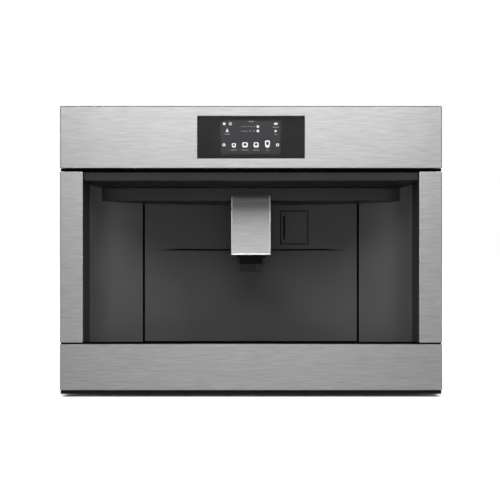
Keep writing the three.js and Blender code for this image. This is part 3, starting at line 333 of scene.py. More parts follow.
def dress(node, material):
    """Gives a frame piece its material and rounds its edges. Its faceted flats are merged first."""
    obj = nodes[node]
    obj.data.materials.clear()
    obj.data.materials.append(MATERIALS[material])
    weld = obj.modifiers.new("weld", "WELD")
    weld.merge_threshold = 0.00001
    flat = obj.modifiers.new("flat", "DECIMATE")
    flat.decimate_type = "DISSOLVE"
    flat.angle_limit = radians(0.5)
    round_edges(obj, 0.4 * MM)
    shade(obj)


# the top cover and the cup grid get darker copies of their steel: painted shade
PAINTED_SHADE_FINISH = {"top_cover": "zinc_top_painted_shade", "cup_grid": "grid_steel_painted_shade"}
for node in nodes:
    dress(node, PAINTED_SHADE_FINISH.get(node, SLOT_OF[node]))


# ---- sizes, in millimetres

FRONT_HALF = 298.0
SHEET = 1.6  # steel sheet of the front
SHEET_RETURN = 12.0  # folded edge of that sheet
TOP_FASCIA = (357.9, 455.0)  # lower and upper edge
SIDE_TRIM = (85.6, 352.3)
LOWER_FASCIA = (11.6, 83.4)
NICHE_HALF = 262.5
INNER_RETURN = 6.0  # the side trims' shorter fold, towards the niche
DOOR_BACK = 18.0
WINDOW_HALF = 83.6
WINDOW = (373.0, 438.9)
SCREEN_MID = 406.4
CHEEK_DEPTH = 31.3
NICHE_BOWL = 114.0
NICHE_SQUARENESS = 2.5
SHELL_WALL = 2.5
NICHE_BOTTOM = 57.5
RAIL_BOTTOM = 340.3
WING_EDGE = 196.9
MOLDING_BACK = 158.2
PANEL_HALF = 193.3
PANEL_SHELL = 3.0
PANEL_TOP = 336.4
CREASE = 230.5
SCOOP_DEPTH = 8.0
SCOOP_HALF = 168.0
EYE_HEIGHT = 230.2
VIEW_DISTANCE = 700.0
FLAP = ((55.2, 107.5), (240.8, 304.3))
SPOUT_HALF = 33.9
SPOUT_FRONT = 55.0
SPOUT_BACK = 106.0
SPOUT_BOTTOM = 221.6
SPOUT_TOP = 324.9
CANOPY_FRONT = 68.9
CANOPY_BOTTOM = 314.7
NOZZLE_BOTTOM = 193.2
NOZZLE_HALF = 19.8
COVER_TOP = 439.8
REAR_FIELD = 438.8  # outer face of the rear panel's pressed field
REAR_FACE = 440.0
SIDE_FACE = 268.5  # outer face of a side panel, from the middle
BULKHEAD_FACE = 166.0
REAR_FRAME_FACE = 161.0
TANK_TOP = (252.0, 439.8)  # the water tank's upper front edge: depth and height
BREW_AXIS = (0.0, 216.0)
KNOB = (-130.0, 250.0)  # axis of the grind setting: x and depth
SIGN = (4.0, 4.08)  # depth of a sign's front and back

# ---- mesh helpers


def at(x, depth, z):
    """A point by millimetres to the right, behind the steel front and up."""
    return Vector((x * MM, FRONT + depth * MM, z * MM))


def facing(x, z, depth):
    return at(x, depth, z)


def along_x(depth, z, x):
    return at(x, depth, z)


def spread(low, high, count):
    return [low + (high - low) * i / count for i in range(count + 1)]


def rounded(low, high, radius, steps=4):
    """Outline of a rectangle between two corners, anticlockwise, with rounded corners."""
    left, right = low[0] + radius, high[0] - radius
    lower, upper = low[1] + radius, high[1] - radius
    points = []
    for quarter, (u, v) in enumerate(((right, lower), (right, upper), (left, upper), (left, lower))):
        for i in range(steps + 1):
            turn = radians(90 * (quarter - 1) + 90 * i / steps)
            points.append((u + radius * cos(turn), v + radius * sin(turn)))
    return points


def nested(low, high, radius, levels, place=facing, shrink=1, steps=4):
    """Rings of a rounded rectangle at place(u, v, level), one for each (inset, level).

    With shrink, the inset also takes from the corners' radius.
    """
    rings = []
    for inset, level in levels:
        corners = (low[0] + inset, low[1] + inset), (high[0] - inset, high[1] - inset)
        rings.append([place(u, v, level) for u, v in rounded(*corners, radius - shrink * inset, steps)])
    return rings


def circle(u, v, radius, sides=32):
    turns = (2 * pi * i / sides for i in range(sides))
    return [(u + radius * cos(turn), v + radius * sin(turn)) for turn in turns]


def loft(bm, rings, closed=False):
    """Skins rings of equally many points. An open row of rings gets a face at each end."""
    rows = [[bm.verts.new(point) for point in ring] for ring in rings]
    following = rows[1:] + rows[:1] if closed else rows[1:]
    for row, after in zip(rows, following):
        for i in range(len(row)):
            j = (i + 1) % len(row)
            bm.faces.new((row[i], row[j], after[j], after[i]))
    if not closed:
        bm.faces.new(rows[0][::-1])
        bm.faces.new(rows[-1])


def prism(bm, outline, low, high, place):
    """An outline of (u, v) points between two levels w, where place(u, v, w) gives the point."""
    loft(bm, [[place(u, v, w) for u, v in outline] for w in (low, high)])


def grid_shell(bm, columns, rows, front, back, keep=lambda i, j: True):
    """A sheet between two surfaces over a grid, without the cells that keep() turns down."""
    faces = (front, back)
    verts = {}

    def vert(side, i, j):
        if (side, i, j) not in verts:
            verts[side, i, j] = bm.verts.new(faces[side](columns[i], rows[j]))
        return verts[side, i, j]

    cells = {(i, j) for i in range(len(columns) - 1) for j in range(len(rows) - 1) if keep(i, j)}
    for i, j in cells:
        corners = ((i, j), (i + 1, j), (i + 1, j + 1), (i, j + 1))
        bm.faces.new([vert(0, *corner) for corner in corners])
        bm.faces.new([vert(1, *corner) for corner in corners[::-1]])
        beyond = ((i, j - 1), (i + 1, j), (i, j + 1), (i - 1, j))
        for k, cell in enumerate(beyond):
            if cell not in cells:
                a, b = corners[k], corners[(k + 1) % 4]
                bm.faces.new((vert(0, *b), vert(0, *a), vert(1, *a), vert(1, *b)))


def add_piece(name, bm, node, bevel=0.0, material=None, replaces=True, slot=None):
    """Makes the mesh a piece that rides with a frame piece, and may stand for it."""
    bmesh.ops.recalc_face_normals(bm, faces=bm.faces)
    mesh = bpy.data.meshes.new(name)
    bm.to_mesh(mesh)
    bm.free()
    slot = slot or SLOT_OF[node]
    mesh.materials.append(MATERIALS[material or slot])
    obj = add_object(name, mesh)
    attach(obj, BODY_OF[node])
    if replaces:
        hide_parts(node)
    if bevel:
        round_edges(obj, bevel * MM)
    shade(obj)
    return obj


def lofted(name, node, rings, closed=False, **options):
    """A piece that is one loft."""
    bm = bmesh.new()
    loft(bm, rings, closed)
    return add_piece(name, bm, node, **options)


def second_material(obj, material, chosen):
    """Gives another material to the faces whose middle, as x, depth and z, is chosen."""
    obj.data.materials.append(MATERIALS[material])
    for face in obj.data.polygons:
        middle = face.center
        if chosen(middle.x / MM, (middle.y - FRONT) / MM, middle.z / MM):
            face.material_index = len(obj.data.materials) - 1


# ---- steel front

FOLD = 1.5  # radius of the fold round each sheet's face


def pan_rings(x0, x1, z0, z1, top_share=0.4, back=lambda x: SHEET_RETURN):
    """Rings of a folded sheet: round the front's fold, back along the edge and forward again inside.

    The fold is narrower along the lower edge, and by top_share along the upper one.
    """
    corner, edge, steps, low_share = 1.2, 0.3, 5, 0.4
    profile = []
    for i in range(steps + 1):
        turn = radians(90 * i / steps)
        inset = FOLD * (1 - sin(turn))
        profile.append((inset, (low_share, top_share), lambda x, d=FOLD * (1 - cos(turn)): d))
    for inset, depth in (
        (0.0, lambda x: back(x) - edge),
        (edge, back),
        (SHEET - edge, back),
        (SHEET, lambda x: back(x) - edge),
        (SHEET, lambda x: SHEET + 0.2),
        (SHEET + 0.2, lambda x: SHEET),
    ):
        profile.append((inset, (1, 1), depth))
    rings = []
    for inset, (low, high), depth in profile:
        corners = (x0 + inset, z0 + inset * low), (x1 - inset, z1 - inset * high)
        rings.append([at(x, depth(x), z) for x, z in rounded(*corners, max(corner - inset, 0.1))])
    return rings


def on_outer_fold(x, depth, z):
    """Whether a point is on the fold at the front's left, right or upper edge, which is painted
    near-black as painted shade.
    """
    reach = FOLD - 0.2
    return 0.01 < depth < FOLD and (abs(x) > FRONT_HALF - reach or z > TOP_FASCIA[1] - reach)


def steel_sheet(name, node, rings, closed=False):
    piece = lofted(name, node, rings, closed)
    # the outer folds get painted shade
    second_material(piece, "painted_edge_shade", on_outer_fold)
    return piece


def steel_front():
    gap = 0.3  # round the window's glass
    low, high = (-WINDOW_HALF - gap, WINDOW[0] - gap), (WINDOW_HALF + gap, WINDOW[1] + gap)
    hole = nested(low, high, 0.8, ((0.0, SHEET), (0.0, 0.55), (-0.25, 0.15), (-0.7, 0.0)))
    rings = pan_rings(-FRONT_HALF, FRONT_HALF, *TOP_FASCIA, top_share=1.0)
    steel_sheet("top_fascia_steel", "top_fascia", rings + hole, closed=True)

    def on_upper_fold(x, depth, z):
        return 0.01 < depth < SHEET_RETURN and z > LOWER_FASCIA[1] - FOLD / 2

    rings = pan_rings(-FRONT_HALF, FRONT_HALF, *LOWER_FASCIA)
    # the lower fascia's upper fold is painted darker, as painted shade
    second_material(steel_sheet("lower_fascia_steel", "lower_fascia", rings), "steel_fold_painted_shade", on_upper_fold)

    def trim_back(x):
        return INNER_RETURN if abs(x) < NICHE_HALF + SHEET + 0.5 else SHEET_RETURN

    for side, name in SIDES:
        edges = sorted((side * NICHE_HALF, side * FRONT_HALF))
        rings = pan_rings(*edges, *SIDE_TRIM, back=trim_back)
        steel_sheet(f"side_trim_steel_{name}", f"side_trim_{name}", rings)


# ---- niche


def wall_depth(x):
    share = min(1.0, abs(x) / NICHE_HALF)
    return CHEEK_DEPTH + NICHE_BOWL * (1 - share**NICHE_SQUARENESS) ** (1 / NICHE_SQUARENESS)


def fade(x):
    """How much there is of the hollow below the crease: all in the middle, none at its ends."""
    return max(0.0, 1 - (x / SCOOP_HALF) ** 2)


def hollow_depth(x):
    """Depth of the wall below the crease."""
    return wall_depth(x) + SCOOP_DEPTH * fade(x)


def groove_low(x):
    """Height of the lower edge of the crease's groove, which rises a little towards its ends."""
    rise = 1.2
    return CREASE + rise * (x / SCOOP_HALF) ** 2 * min(1.0, 2 * fade(x)) - 1.6


def wall_line(start, end, count):
    """Points of the wall from one x to another on one side, closest where it curves most."""

    def turn(x):
        return acos(min(1.0, abs(x) / NICHE_HALF) ** (NICHE_SQUARENESS / 2))

    points = []
    for angle in spread(turn(start), turn(end), count):
        x = NICHE_HALF * cos(angle) ** (2 / NICHE_SQUARENESS)
        points.append((x, wall_depth(x)))
    return points


def mitres(line):
    """For each point of a plan line, the offset of a parallel line one millimetre to its right."""
    normals = []
    for (x0, y0), (x1, y1) in zip(line, line[1:]):
        length = hypot(x1 - x0, y1 - y0)
        normals.append(((y1 - y0) / length, (x0 - x1) / length))
    result = []
    for i in range(len(line)):
        ax, ay = normals[max(0, i - 1)]
        bx, by = normals[min(len(normals) - 1, i)]
        share = 1 / (1 + ax * bx + ay * by)
        result.append(((ax + bx) * share, (ay + by) * share))
    return result


def niche_wings():
    """The curved sides: a strip from the side trim round to the seam, turned back there. It is painted a
    little lighter than the back panel as painted light, and its cheek and its turned-back edge darker as
    painted shade.
    """
    line = [(NICHE_HALF, INNER_RETURN + 0.3), (NICHE_HALF, DOOR_BACK + 0.5)]
    line += wall_line(NICHE_HALF, WING_EDGE, 36)
    line += [(WING_EDGE, MOLDING_BACK)]
    offsets = mitres(line)
    for side, name in SIDES:
        rings = []
        for (x, depth), (across, behind) in zip(line, offsets):
            low = NICHE_BOTTOM if depth > DOOR_BACK + 0.3 else LOWER_FASCIA[1] + 0.3
            section = rounded((0.0, low), (SHELL_WALL, RAIL_BOTTOM - 0.3), 0.5, 2)
            rings.append([at(side * (x + across * s), depth + behind * s, z) for s, z in section])
        wing = lofted(f"niche_side_{name}", f"niche_wing_{name}", rings, material="wing_shell_painted_light")
        # the straight cheek beside the side trim is painted in dark trim plastic, as painted shade
        second_material(wing, "dark_trim", lambda x, depth, z: depth < CHEEK_DEPTH)
        # the edge turned back at the seam is painted near-black, as painted shadow of the gap
        second_material(wing, "painted_shadow_black", lambda x, depth, z: abs(x) < WING_EDGE + 0.2)


def panel_bottom(x):
    slope = 141.8  # drop of the lower edge below eye level, seen at the front plane
    return EYE_HEIGHT - slope * (1 + hollow_depth(x) / VIEW_DISTANCE)


def back_panel():
    """The back of the niche: hollowed below the crease, whose groove fades sideways."""
    groove = 4.0
    hole_x, hole_z = FLAP
    side_return = PANEL_HALF - PANEL_SHELL
    columns = sorted(
        {-PANEL_HALF, -side_return, PANEL_HALF, side_return, *hole_x}
        | set(spread(-side_return + 0.3, hole_x[0] - 5, 26))
        | set(spread(hole_x[0] + 5, hole_x[1] - 5, 4))
        | set(spread(hole_x[1] + 5, side_return - 0.3, 8))
    )
    heights = (236.0, hole_z[0], 256.0, 272.0, 288.0, hole_z[1], 320.0, 335.0, PANEL_TOP)
    rows = [("low", share) for share in (0.0, 0.01, 0.2, 0.4, 0.6, 0.8, 0.98)]
    rows += [("crease", k) for k in range(4)]
    rows += [("high", z) for z in heights]

    def face(x, row):
        kind, value = row
        hollow, wall, start = hollow_depth(x), wall_depth(x), groove_low(x)
        if kind == "low":
            low = panel_bottom(x)
            return hollow, low + (start - low) * value
        if kind == "high":
            return wall, value
        deeper = hollow + groove * sqrt(fade(x))
        return ((hollow, start), (deeper, start + 0.4), (deeper, start + 2.6), (wall, start + 2.9))[value]

    def front(x, row):
        depth, z = face(x, row)
        return at(x, depth, z)

    def back(x, row):
        depth, z = face(x, row)
        behind = MOLDING_BACK if abs(x) >= side_return else min(depth + PANEL_SHELL, MOLDING_BACK)
        return at(x, behind, z)

    def keep(i, j):
        mid_x = (columns[i] + columns[i + 1]) / 2
        in_height = rows[j][0] == "high" and hole_z[0] <= rows[j][1] < hole_z[1]
        return not (in_height and hole_x[0] < mid_x < hole_x[1])

    bm = bmesh.new()
    grid_shell(bm, columns, rows, front, back, keep)
    panel = add_piece("niche_back", bm, "niche_back_panel", bevel=0.6)

    def in_seam(x, depth, z):
        beside_hole = hole_z[0] < z < hole_z[1] and min(abs(x - edge) for edge in hole_x) < 0.05
        over_hole = hole_x[0] < x < hole_x[1] and min(abs(z - edge) for edge in hole_z) < 0.05
        return abs(x) > PANEL_HALF - 0.05 or beside_hole or over_hole

    # the panel's side edges and the flap opening's edges are painted near-black, as painted shadow of the
    # gaps
    second_material(panel, "painted_shadow_black", in_seam)


# looks of the near-black strips that stand in gaps: painted shadow
SHADOW_STRIP_LOOKS = {"material": "painted_shadow_black", "slot": "rubber", "replaces": False}


def shadow_strip(bm, low, high, radius, x0, x1, steps=2):
    """A rounded strip from x0 to x1, by the depth and height of its section's corners."""
    prism(bm, rounded(low, high, radius, steps), x0, x1, along_x)


def shadow_strips():
    """Near-black strips as painted shadow: beside the back panel, in its crease, behind the flap and
    along its foot.
    """
    bm = bmesh.new()
    for side, _ in SIDES:
        x0, x1 = sorted((side * (PANEL_HALF + 0.1), side * (WING_EDGE - 0.1)))
        seam = rounded((x0, wall_depth(PANEL_HALF) + 2.5), (x1, wall_depth(PANEL_HALF) + 9), 0.8, 2)
        prism(bm, seam, panel_bottom(PANEL_HALF), PANEL_TOP - 1, at)

    def strip(end, edges, thickness):
        """A thin upright strip that follows edges(x), its depth and its lower and upper edge."""

        def point(x, share, behind=0.0):
            depth, low, high = edges(x)
            return at(x, min(depth + behind, MOLDING_BACK), low + (high - low) * share)

        columns, rows = spread(-end, end, 60), (0.0, 0.5, 1.0)
        grid_shell(bm, columns, rows, point, lambda x, share: point(x, share, thickness))

    # a near-black lip, as painted shadow, from the panel's foot down to the cup grid
    strip(PANEL_HALF - 1, lambda x: (hollow_depth(x) + 2.0, 51.0, panel_bottom(x) + 3), 1.6)

    def in_crease(x):
        start = groove_low(x)
        high = start + 0.5 + 2.1 * min(1.0, 2.5 * fade(x))
        return hollow_depth(x) + 0.8 * fade(x), start + 0.3, high

    # a near-black strip in the crease's groove, as painted shadow
    strip(0.93 * SCOOP_HALF, in_crease, 1.5)

    # a near-black strip on the lower fascia's upper fold, and near-black ends of the gap below the side
    # trims, as painted shadow of these gaps
    start = (2.2, LOWER_FASCIA[1] + 0.1)
    shadow_strip(bm, start, (13.0, LOWER_FASCIA[1] + 1.3), 0.5, 0.3 - NICHE_HALF, NICHE_HALF - 0.3)
    for side, _ in SIDES:
        ends = sorted((side * (NICHE_HALF + 0.3), side * (FRONT_HALF - 0.4)))
        shadow_strip(bm, start, (6.0, SIDE_TRIM[0] - 0.1), 0.5, *ends)

    # a near-black frame behind the flap's seam, as painted shadow
    (left, right), (low, high) = FLAP
    levels = ((-2.5, 3.4), (-2.5, 4.4), (3.0, 4.4), (3.0, 3.4))
    on_wall = lambda x, z, behind: at(x, wall_depth(x) + behind, z)
    loft(bm, nested((left, low), (right, high), 0.5, levels, on_wall, shrink=0, steps=2), closed=True)
    add_piece("niche_shadow_strips", bm, "niche_back_panel", **SHADOW_STRIP_LOOKS)


def plinth_skirt():
    """The black strip under the front, with a soft upper lip."""
    bm = bmesh.new()
    lip = (3.4, 10.8), (2.4, 11.2), (2.1, 10.6)
    section = (2.4, 5.6), (3.0, 5.0), (20.1, 5.0), (20.7, 5.6), (20.7, 10.8), *lip
    prism(bm, section, 0.4 - FRONT_HALF, FRONT_HALF - 0.4, along_x)
    add_piece("plinth_skirt", bm, "plinth_strip", bevel=0.3, material="black_plinth_and_painted_shade")


def door_gap_shadow():
    """A near-black strip between the top fascia and the door, on the fixed side, as painted shadow of the
    gap.
    """
    bm = bmesh.new()
    reach = FRONT_HALF - 0.5
    shadow_strip(bm, (2.6, SIDE_TRIM[1] + 0.9), (5.0, TOP_FASCIA[0] - 0.2), 0.8, -reach, reach, 3)
    add_piece("door_gap_shadow", bm, "front_frame", **SHADOW_STRIP_LOOKS)


def flap():
    """The hot-water flap: a leaf along the wall, with an upright grip slot and a hinge pin."""
    gap, thickness, slot_depth, draft = 1.6, 2.4, 1.9, 0.15
    (left, right), (low, high) = FLAP
    grip_x = left + 7.4
    grip = ((grip_x - 1.4, grip_x + 1.4), (low + 9.2, high - 9.3))

    def steps(start, end, cut, count):
        inside = (cut[0] - draft, cut[0], cut[1], cut[1] + draft)
        return sorted({*inside, *spread(start, cut[0] - 2, 2), *spread(cut[1] + 2, end, count)})

    columns = steps(left + gap, right - gap, grip[0], 12)
    rows = steps(low + gap, high - gap, grip[1], 4)

    def front(x, z):
        in_slot = grip[0][0] <= x <= grip[0][1] and grip[1][0] <= z <= grip[1][1]
        return at(x, wall_depth(x) + (slot_depth if in_slot else 0.0), z)

    def back(x, z):
        return at(x, wall_depth(x) + thickness, z)

    bm = bmesh.new()
    grid_shell(bm, columns, rows, front, back)
    pin_x = right - 2.2
    prism(bm, circle(pin_x, wall_depth(pin_x) + 1.5, 1.0, 20), low - 1.5, high + 1.5, at)
    leaf = add_piece("flap_leaf", bm, "hot_water_flap", bevel=0.3)

    def in_slot_or_seam(x, depth, z):
        (x0, x1), (z0, z1) = grip
        in_slot = x0 - draft < x < x1 + draft and z0 < z < z1
        edge = gap + 0.05
        inside = left + edge < x < right - edge and low + edge < z < high - edge
        return not inside or (in_slot and depth < wall_depth(x) + thickness - 0.2)

    # the leaf's edges and the inside of its grip slot are painted near-black, as painted shadow
    second_material(leaf, "painted_shadow_black", in_slot_or_seam)


# ---- spout


def channel_ring(z, front, back, half, inset=0.0):
    """Level section of a folded cover, out round the front corners and back inside."""
    radius, steps = 4.0, 8
    reach = min(1.0, (back - front) / radius)

    def path(half, front, radius):
        points = [(half, back)]
        for i in range(steps + 1):
            turn = radians(90 * i / steps)
            across, behind = radius * (1 - cos(turn)), reach * radius * (1 - sin(turn))
            points.append((half - across, front + behind))
        return points

    outer = path(half - inset, front + inset, radius - inset)
    inner = path(half - SHEET, min(front + SHEET * reach, back - 0.1), radius - SHEET)
    outline = outer + [(-x, y) for x, y in outer[::-1]] + [(-x, y) for x, y in inner] + inner[::-1]
    return [at(x, y, z) for x, y in outline]


def spout_cover():
    """Folded steel cover: its front curves back over the canopy's edge, and its foot has a hem. The hem
    and the front corners are painted bright, as painted highlights.
    """
    # height over the foot, and inset
    hem = ((0.0, 1.0), (0.3, 0.3), (0.8, -0.5), (1.3, -0.7), (2.0, -0.45), (2.7, -0.1), (3.4, 0.0))
    crown = (CANOPY_FRONT - 0.6 - SPOUT_FRONT, 10.0)  # how far the top curves back, and how far down
    under_canopy = CANOPY_BOTTOM - 2
    rings = [(SPOUT_BOTTOM + up, inset) for up, inset in hem]
    rings += [(z, 0.0) for z in spread(SPOUT_BOTTOM + 8, under_canopy - 0.1, 10)]
    levels = [channel_ring(z, SPOUT_FRONT, SPOUT_BACK, SPOUT_HALF, inset) for z, inset in rings]
    shoulder = CANOPY_FRONT - 0.4
    for i in range(13):
        turn = radians(88 * i / 12)
        z = SPOUT_TOP - crown[1] + crown[1] * sin(turn)
        front = SPOUT_FRONT + crown[0] * (1 - cos(turn))
        levels.append(channel_ring(z, front, shoulder, SPOUT_HALF))
    bm = bmesh.new()
    loft(bm, levels)
    inside = SPOUT_HALF - SHEET - 0.1
    roof = rounded((-inside, shoulder), (inside, SPOUT_BACK), 0.5, 2)
    prism(bm, roof, under_canopy - SHEET, under_canopy, at)
    shell = add_piece("spout_shell", bm, "spout_cover", material="polished_steel")

    # the front corners and the hem get painted highlights
    def on_painted_highlight(x, depth, z):
        corner = abs(x) > SPOUT_HALF - 2.6 and depth < SPOUT_FRONT + 3.4 and z < SPOUT_BOTTOM + 76
        return corner or (z < SPOUT_BOTTOM + 1.7 and depth < SPOUT_BACK - 1)

    second_material(shell, "painted_highlight_steel", on_painted_highlight)


def nozzle_block():
    """The outlet block: a collar, a stepped body, upright grooves and two outlet rims."""
    front, back = SPOUT_FRONT + 13, SPOUT_BACK + 1
    step, collar_low, top = 207.0, 216.5, 223.4
    collar_half = NOZZLE_HALF + 4.5
    bm = bmesh.new()
    rings = []
    for z, half, inset, radius in (
        (NOZZLE_BOTTOM, NOZZLE_HALF - 1.2, 5.2, 1.5),
        (NOZZLE_BOTTOM + 0.9, NOZZLE_HALF - 0.3, 4.3, 2.0),
        (step - 0.6, NOZZLE_HALF - 0.1, 2.9, 2.0),
        (step, NOZZLE_HALF - 0.6, 3.6, 1.6),
        (step + 0.6, NOZZLE_HALF, 2.4, 2.0),
        (collar_low, NOZZLE_HALF, 2.0, 2.0),
        (collar_low + 0.1, collar_half - 0.6, 0.6, 1.4),
        (collar_low + 0.7, collar_half, 0.0, 2.0),
        (top, collar_half, 0.0, 2.0),
    ):
        outline = rounded((-half, front + inset), (half, back - inset), radius)
        rings.append([at(x, y, z) for x, y in outline])
    loft(bm, rings)
    for x in (9.4, 12.8, 16.2):
        rib = rounded((x - 0.9, front + 1.9), (x + 0.9, front + 4.6), 0.4, 2)
        prism(bm, rib, NOZZLE_BOTTOM + 1.2, step - 1.0, at)
    for side, _ in SIDES:
        outer, inner = (circle(side * 9.5, (front + back) / 2, radius, 28) for radius in (4.2, 3.2))
        rims = ((outer, 0.4), (outer, 0.0), (inner, 0.0), (inner, 0.4))
        loft(bm, [[at(x, y, NOZZLE_BOTTOM + up) for x, y in rim] for rim, up in rims], closed=True)
    body = add_piece("nozzle_body", bm, "nozzle_block", material="nozzle_black")

    def on_ribs(x, depth, z):
        return x > 8.2 and depth < front + 3 and z < step - 0.9

    # the collar and the step above it are painted near-black, as painted shade under the spout cover
    second_material(body, "black_plinth_and_painted_shade", lambda x, depth, z: z > step)
    second_material(body, "dark_trim", on_ribs)


# ---- display


def display():
    """Glass with polished edges, the lit panel behind it, and the panel's signs."""
    window = (-WINDOW_HALF, WINDOW[0]), (WINDOW_HALF, WINDOW[1])
    module = (-50.0, SCREEN_MID - 29), (50.0, SCREEN_MID + 29)
    lit = (-47.9, 380.0), (46.4, 432.8)
    glass = nested(*window, 1.0, ((0.5, 0.8), (0.0, 1.3), (0.0, 3.3), (0.5, 3.8)), shrink=0)
    lofted("window_glass", "display_glass", glass)
    panel = nested(*module, 1.5, ((0.4, 4.15), (0.0, 4.5), (0.0, 12.1)), shrink=0)
    lofted("display_module", "touch_display", panel, material="dark_trim")
    border = nested(*window, 0.8, ((0.4, 3.84), (0.4, 3.94)), shrink=0)
    border += nested(*lit, 0.9, ((-0.1, 3.94), (-0.1, 3.84)), shrink=0)
    printed = {"material": "glass_print", "slot": "dark_trim", "replaces": False}
    lofted("display_border", "display_glass", border, closed=True, **printed)
    lit_face = bmesh.new()
    prism(lit_face, rounded(*lit, 0.8), 4.11, 4.2, facing)
    add_piece("display_lit_area", lit_face, "touch_display", replaces=False)

    for material, add in (("signs", add_signs), ("faint_signs", add_faint_signs)):
        bm = bmesh.new()
        add(bm)
        add_piece(f"display_{material}", bm, "touch_display", material=material, replaces=False)


def plate(bm, outline, x, z):
    """A thin sign on the screen, its outline given round its own middle."""
    prism(bm, outline, *SIGN, lambda u, v, depth: at(x + u, depth, SCREEN_MID + z + v))


def open_sign(bm, outer, inner, x, z):
    """The same with a hole."""
    face, back = SIGN
    rings = []
    for outline, depth in ((outer, face), (outer, back), (inner, back), (inner, face)):
        rings.append([at(x + u, depth, SCREEN_MID + z + v) for u, v in outline])
    loft(bm, rings, closed=True)


def vessel(bm, x, z, width, height, taper):
    """A rounded vessel with a round opening."""
    squareness = 0.55
    outer, inner = [], []
    for cosine, sine in circle(0, 0, 1.0):
        v = height / 2 * copysign(abs(sine) ** squareness, sine)
        u = width / 2 * copysign(abs(cosine) ** squareness, cosine) * (1 + taper * v / height)
        outer.append((u, v))
        inner.append((0.29 * width * cosine, 0.08 * height + 0.25 * height * sine))
    open_sign(bm, outer, inner, x, z)


def hoop(bm, x, z, radius, width):
    open_sign(bm, circle(0, 0, radius), circle(0, 0, radius - width), x, z)


def add_signs(bm):
    row = -11.6
    # a row of vessels, with a sign at each end
    for x, z, width, height, taper in (
        (-26.8, -12.3, 6.4, 6.6, 0.25),
        (-9.4, row, 8.8, 8.2, 0.1),
        (8.1, row, 8.0, 8.2, -0.05),
        (25.8, -10.2, 7.6, 11.4, 0.3),
    ):
        vessel(bm, x, z, width, height, taper)
    for x in (-42.4, 41.6):
        hoop(bm, x, row, 2.4, 1.0)
        plate(bm, rounded((-1.6, -0.35), (1.6, 0.35), 0.3, 2), x, row)
    # settings, top left and top right
    plate(bm, circle(0, 0, 2.1), -41.9, 21.4)
    hoop(bm, -32.4, 21.4, 2.3, 0.9)
    plate(bm, [(-2.4, -2.0), (2.4, -2.0), (1.3, 0.2), (0.5, 3.0), (-0.5, 3.0), (-1.3, 0.2)], -37.2, 10.6)
    leaf = []
    for turn in spread(0, 5.9, 22):
        cosine, sine = cos(turn), sin(turn)
        leaf.append((2.9 * cosine - 0.9 * sine, 1.5 * sine + 0.7 * cosine))
    plate(bm, leaf, 38.9, 21.4)
    plate(bm, circle(0, 0, 1.7), 38.5, 10.0)
    # chosen steps of the two scales in the middle
    for z in (17.1, 10.2):
        plate(bm, circle(0, 0, 2.1), 10.8, z)


def add_faint_signs(bm):
    """Plain bars, and the scales' other steps."""
    row = -19.6
    for x, z, length, height in (
        (0.3, 25.0, 8.4, 1.2),
        (-26.9, row, 9.4, 1.0),
        (-9.4, row, 10.6, 1.0),
        (8.1, row, 9.8, 1.0),
        (25.8, row, 4.6, 1.0),
        (-37.2, 5.2, 8.0, 1.0),
        (38.8, 16.0, 9.6, 1.0),
        (38.8, 4.9, 4.4, 1.0),
        (-10.3, 9.9, 10.6, 0.8),
    ):
        plate(bm, rounded((-length / 2, -height / 2), (length / 2, height / 2), 0.4, 2), x, z)
    for x in (-13.6, -8.9, -4.2, 0.5, 5.2):
        plate(bm, circle(0, 0, 0.9, 16), x, 17.1)
    for x in (-1.0, 4.9):
        plate(bm, circle(0, 0, 1.1, 16), x, 10.0)


# ---- chassis and lids


def on_side(side):
    """The place(depth, z, level) of a side panel."""
    return lambda depth, z, level: at(side * (SIDE_FACE + level), depth, z)


def on_top(x, depth, level):
    return at(x, depth, COVER_TOP + level)


def on_upright(face, outward=1):
    """The place(x, z, level) of a sheet that faces back, or to the front with outward -1."""
    return lambda x, z, level: at(x, face + outward * level, z)


def pressed_bead(bm, low, high, place, height=1.2):
    """A long swage with round ends, on a sheet whose face is level 0 of place(u, v, level)."""
    half = min(high[0] - low[0], high[1] - low[1]) / 2
    levels = ((0.0, -0.4), (0.0, 0.0), (0.5, 0.25), (1.4, 0.8 * height), (2.4, height))
    loft(bm, nested(low, high, half - 0.05, levels, place, steps=6))


def screw_heads(bm, us, vs, place):
    """Pan heads with a cross recess, on a sheet whose face is level 0 of place(u, v, level)."""
    radius, height = 3.4, 1.1
    # reach of the recess over an eighth of a turn each
    recess = (1.9, 1.85, 0.95, 0.72, 0.68, 0.72, 0.95, 1.85)
    unit = circle(0, 0, 1.0)
    for u, v in ((u, v) for u in us for v in vs):
        rings = []
        for share, level in ((1.0, -0.3), (1.0, 0.3), (0.82, 0.8), (0.64, 1.0)):
            head = circle(0, 0, radius * share)
            rings.append([place(u + du, v + dv, level * height) for du, dv in head])
        for share, level in ((1.0, 0.97), (0.8, 0.35)):
            reaches = [share * recess[i % len(recess)] for i in range(len(unit))]
            ring = [(u + du * reach, v + dv * reach) for (du, dv), reach in zip(unit, reaches)]
            rings.append([place(*point, level * height) for point in ring])
        loft(bm, rings)


def side_details():
    for side, name in SIDES:
        place = on_side(side)
        bm = bmesh.new()
        for z in (120, 220, 320):
            pressed_bead(bm, (85, z - 5), (395, z + 5), place)
        screw_heads(bm, (34, 430), (70, 185, 300, 415), place)
        add_piece(f"side_panel_details_{name}", bm, f"side_panel_{name}", replaces=False)


